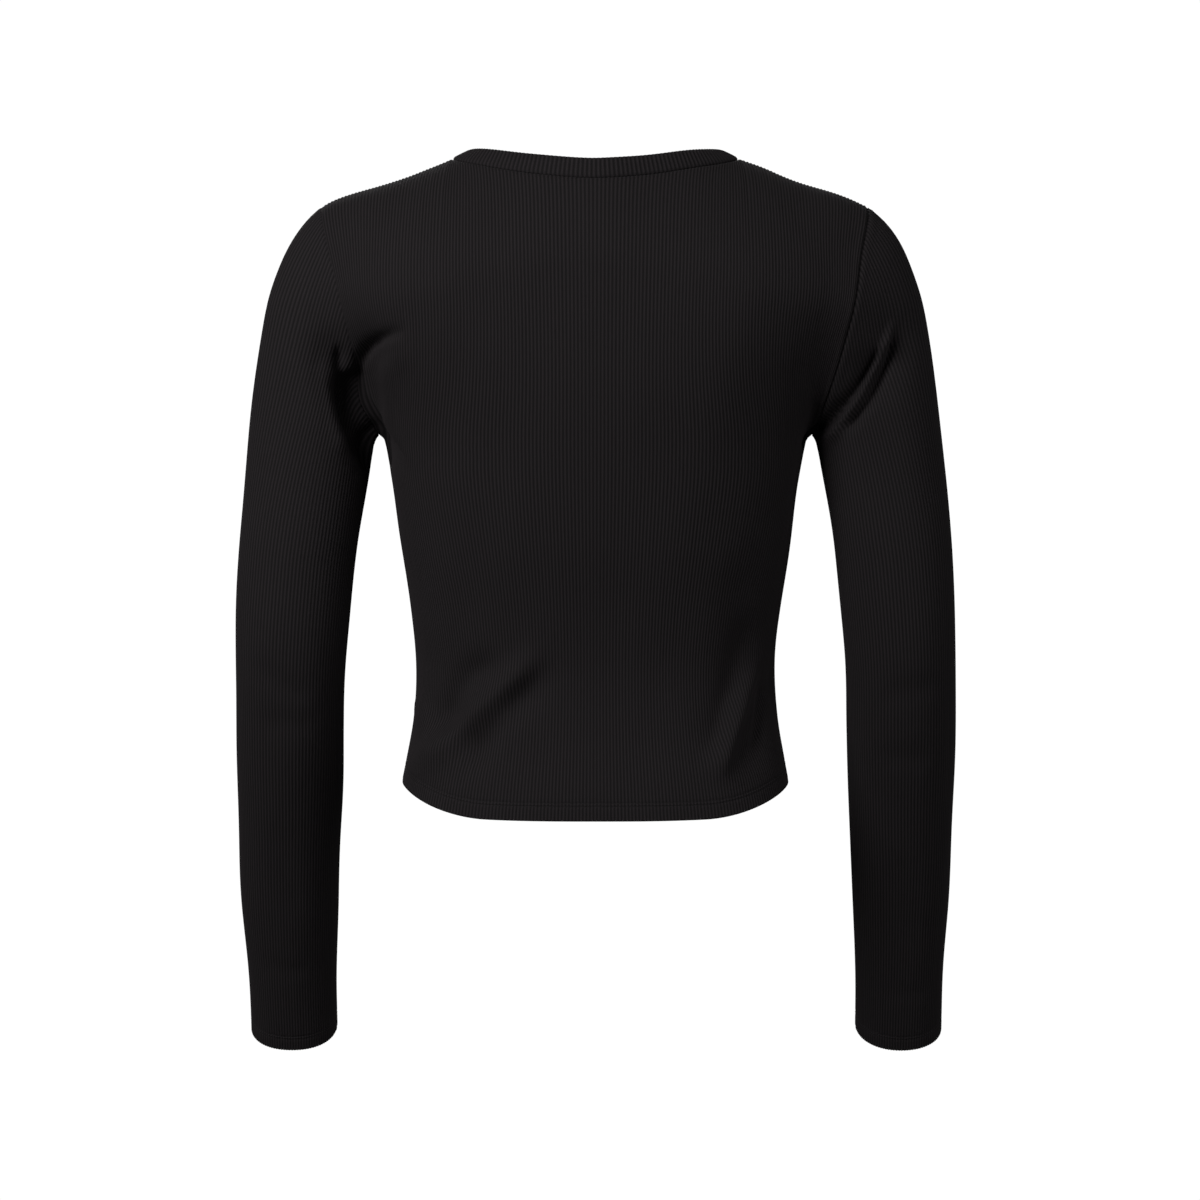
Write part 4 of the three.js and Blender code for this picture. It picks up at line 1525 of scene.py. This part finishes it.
@dataclass(frozen=True)
class Topstitch:
    """Lines of stitches that hold a hem or cuff up, as one mesh."""

    name: str
    stitch: float = 2.4
    pause: float = 0.6
    radius: float = 0.24
    sides: int = 6
    section_places: tuple[float, ...] = (0, 0.12, 0.5, 0.88, 1.0)  # as shares of the stitch
    section_sizes: tuple[float, ...] = (0.35, 0.85, 1.0, 0.85, 0.35)  # as shares of the radius

    def build(self, lines: list[Array], closed: bool) -> bpy.types.Object:
        """Lays stitches along lines of points.

        Args:
            lines: The lines.
            closed: Whether each line meets its own start.

        Returns:
            The object.
        """
        vertices, faces = [], []
        count = 0
        for line in lines:
            line = np.concatenate([line, line[:1]]) if closed else line
            lengths = np.concatenate([[0], np.cumsum(np.linalg.norm(np.diff(line, axis=0), axis=1))])
            number = int(lengths[-1] // (self.stitch + self.pause))
            starts = np.arange(number) * lengths[-1] / number
            for start in starts:
                at = start + self.stitch * np.array(self.section_places)
                path = np.stack([np.interp(at, lengths, line[:, k]) for k in range(3)], axis=1)
                ring, shape = self.capsule(path)
                vertices.append(ring)
                faces.append(shape + count)
                count += len(ring)
        every = np.concatenate(vertices)
        quads = np.concatenate(faces)
        uvs = np.zeros((quads.size, 2))
        return add_mesh(self.name, every, quads, NO_TRIANGLES, uvs, len(quads))

    def capsule(self, path: Array) -> tuple[Array, Array]:
        """One stitch, with narrow ends.

        Args:
            path: Points along it, one for each of its sections.

        Returns:
            Its points and its faces.
        """
        along = unit(path[-1] - path[0])
        beside = unit(np.cross(along, np.array([0.0, 0.0, 1.0])))
        other = np.cross(along, beside)
        turn = np.arange(self.sides) * 2 * math.pi / self.sides
        ring = np.cos(turn)[:, None] * beside + np.sin(turn)[:, None] * other
        sizes = self.radius * np.array(self.section_sizes)
        places = path[:, None] + ring[None] * sizes[:, None, None]
        n = self.sides
        faces = []
        for i in range(len(path) - 1):
            for k in range(n):
                nxt = (k + 1) % n
                faces.append((i * n + k, i * n + nxt, (i + 1) * n + nxt, (i + 1) * n + k))
        top = (len(path) - 1) * n
        for a, b, c, d in ((0, 1, 2, 3), (3, 4, 5, 0)):
            faces += [(d, c, b, a), (top + a, top + b, top + c, top + d)]
        return places.reshape(-1, 3), np.array(faces)


@dataclass
class CropTop:
    """The whole garment."""

    form: WornForm = field(default_factory=WornForm)
    creases: Creases = field(default_factory=Creases)
    relief: Relief = field(default_factory=Relief)

    def build(self) -> dict[str, bpy.types.Object]:
        """Makes and dresses every piece.

        Returns:
            The objects by name.
        """
        cut = Cut(self.form)
        shared = (cut, self.creases, self.relief)
        knit, thread = RibKnit().material(), SewingThread().material()
        back = Panel("knit_back", *shared, ribs=164, rows=118, face=Face.BACK)
        front = Panel("knit_front", *shared, ribs=164, rows=118, face=Face.FRONT)
        left = Sleeve("knit_left_sleeve", *shared, ribs=104, rows=188, arm=Arm.LEFT)
        right = Sleeve("knit_right_sleeve", *shared, ribs=104, rows=188, arm=Arm.RIGHT)
        band = NeckBand("knit_neck_band", *shared, ribs=205, rows=1)
        made = {}
        for piece in (back, front, left, right, band):
            made[piece.name] = self.dress(piece.build(), knit, piece.name)
        hem_lines = back.stitched_rows() + front.stitched_rows()
        for name, lines, closed in (
            ("topstitch_hem", hem_lines, False),
            ("topstitch_left_cuff", left.stitched_rows(), True),
            ("topstitch_right_cuff", right.stitched_rows(), True),
        ):
            made[name] = self.dress(Topstitch(name).build(lines, closed), thread, name)
        return made

    @staticmethod
    def dress(obj: bpy.types.Object, material: bpy.types.Material, name: str) -> bpy.types.Object:
        """Gives a piece its finish, and fixes it to the garment's body.

        Args:
            obj: The piece.
            material: Its finish.
            name: Its name in the log.

        Returns:
            The piece.
        """
        obj.data.materials.append(material)
        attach(obj, "root")
        LOG.info("%s: %d faces", name, len(obj.data.polygons))
        return obj


@dataclass(frozen=True)
class Sheet:
    """The flat cut of one piece of cloth, in metres."""

    piece: str
    node: str
    width: float
    length: float
    area: float
    rests_on: tuple[str, ...] = ()
    with_pieces: tuple[str, ...] = ()

    def declare(self, made: dict[str, bpy.types.Object]) -> None:
        """Hides the piece's node, and so lets the piece stand for it.

        Args:
            made: The objects by name. Not used.
        """
        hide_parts(self.node)


PANELS = ("knit_back", "knit_front")
SHEETS = (
    Sheet("knit_back", "back_panel", 0.395, 0.445, 0.172, with_pieces=("topstitch_hem",)),
    Sheet("knit_front", "front_panel", 0.420, 0.445, 0.160),
    Sheet("knit_left_sleeve", "left_sleeve", 0.290, 0.620, 0.137, PANELS, ("topstitch_left_cuff",)),
    Sheet("knit_right_sleeve", "right_sleeve", 0.290, 0.620, 0.137, PANELS, ("topstitch_right_cuff",)),
    Sheet("knit_neck_band", "neck_band", 0.540, 0.0170, 0.0091, PANELS),
)


@dataclass(frozen=True)
class Studio:
    """A plain white studio: a sweep far below and before the garment, soft lights and the camera."""

    aim: tuple[float, float, float] = (-0.0032, 0.0, -0.2967)
    distance: float = 2.2
    elevation: float = 8.0
    view_width: float = 0.852
    floor_z: float = -1.42

    def camera(self) -> None:
        """Sets the camera behind the garment, at the photograph's angle."""
        lens = bpy.data.cameras.new("camera")
        lens.sensor_width = 36.0
        lens.lens = lens.sensor_width * self.distance / self.view_width
        lens.clip_end = 50.0
        tilt = math.radians(self.elevation)
        away = Vector((0.0, math.cos(tilt), math.sin(tilt)))
        obj = bpy.data.objects.new("camera", lens)
        obj.location = Vector(self.aim) + away * self.distance
        obj.rotation_euler = (-away).to_track_quat("-Z", "Y").to_euler()
        bpy.context.scene.collection.objects.link(obj)
        bpy.context.scene.camera = obj

    def light(self, name: str, place: tuple[float, float, float], size: float, power: float) -> None:
        """Adds a soft square light that faces the garment.

        Args:
            name: Its name.
            place: Where it stands, in metres.
            size: The length of its sides, in metres.
            power: Its power, in watts.
        """
        data = bpy.data.lights.new(name, "AREA")
        data.size = size
        data.energy = power
        obj = bpy.data.objects.new(name, data)
        obj.location = place
        obj.rotation_euler = (Vector(self.aim) - Vector(place)).to_track_quat("-Z", "Y").to_euler()
        bpy.context.scene.collection.objects.link(obj)

    def sweep(self) -> None:
        """Adds the white floor, which curves up into a backdrop all round."""
        rows = [(0.0, 0.0), (3.0, 0.0), (4.2, 0.12), (5.1, 0.55), (5.7, 1.3), (5.95, 2.4), (6.0, 6.5)]
        count = 48
        turn = np.arange(count) * 2 * math.pi / count
        rings = [(r * math.cos(a), r * math.sin(a), self.floor_z + h) for r, h in rows[1:] for a in turn]
        vertices = [*rings, (0.0, 0.0, self.floor_z)]
        corners = []
        for low in range(0, len(rings) - count, count):
            high = low + count
            for k in range(count):
                beyond = (k + 1) % count
                corners.append((high + k, high + beyond, low + beyond, low + k))
        quads = np.array(corners)
        centre = len(vertices) - 1
        triangles = np.array([(centre, k, (k + 1) % count) for k in range(count)])
        faces = len(quads) + len(triangles)
        uvs = np.zeros((quads.size + triangles.size, 2))
        obj = add_mesh("studio_sweep", np.array(vertices) / MM, quads, triangles, uvs, faces)
        obj.data.materials.append(self.paper())
        obj.visible_diffuse = False
        obj.visible_glossy = False
        obj.visible_shadow = False

    @staticmethod
    def paper() -> bpy.types.Material:
        """White seamless paper, lit evenly to pure white as in a cut-out photograph.

        Returns:
            The material.
        """
        made = bpy.data.materials.new("white_seamless_paper")
        made.use_nodes = True
        tree = made.node_tree
        tree.nodes.clear()
        glow = add_node(tree, "ShaderNodeEmission", {"Color": linear("#ffffff"), "Strength": 1.02})
        add_node(tree, "ShaderNodeOutputMaterial", links={"Surface": glow.outputs["Emission"]})
        return made

    def build(self) -> None:
        """Sets the camera, floor, lights and surroundings."""
        self.camera()
        self.sweep()
        self.light("key_light", (1.2, 1.36, 0.76), 1.0, 33.0)
        self.light("fill_light", (-2.3, 1.6, 0.4), 2.0, 19.0)
        self.light("front_light", (0.3, -2.4, 0.5), 1.6, 30.0)
        world = bpy.data.worlds.new("studio")
        world.use_nodes = True
        tree = world.node_tree
        tree.nodes.clear()
        room = add_node(tree, "ShaderNodeBackground", {"Color": linear("#ffffff"), "Strength": 0.09})
        add_node(tree, "ShaderNodeOutputWorld", links={"Surface": room.outputs["Background"]})
        scene = bpy.context.scene
        scene.world = world
        scene.view_settings.view_transform = "Standard"


def main() -> None:
    """Builds the garment and the studio, in order, and reports each piece."""
    logging.basicConfig(level=logging.INFO, format="%(message)s")
    Studio().build()
    made = CropTop().build()
    for sheet in SHEETS:
        sheet.declare(made)
    LOG.info("%d pieces made", len(made))


if __name__ == "__main__":
    main()
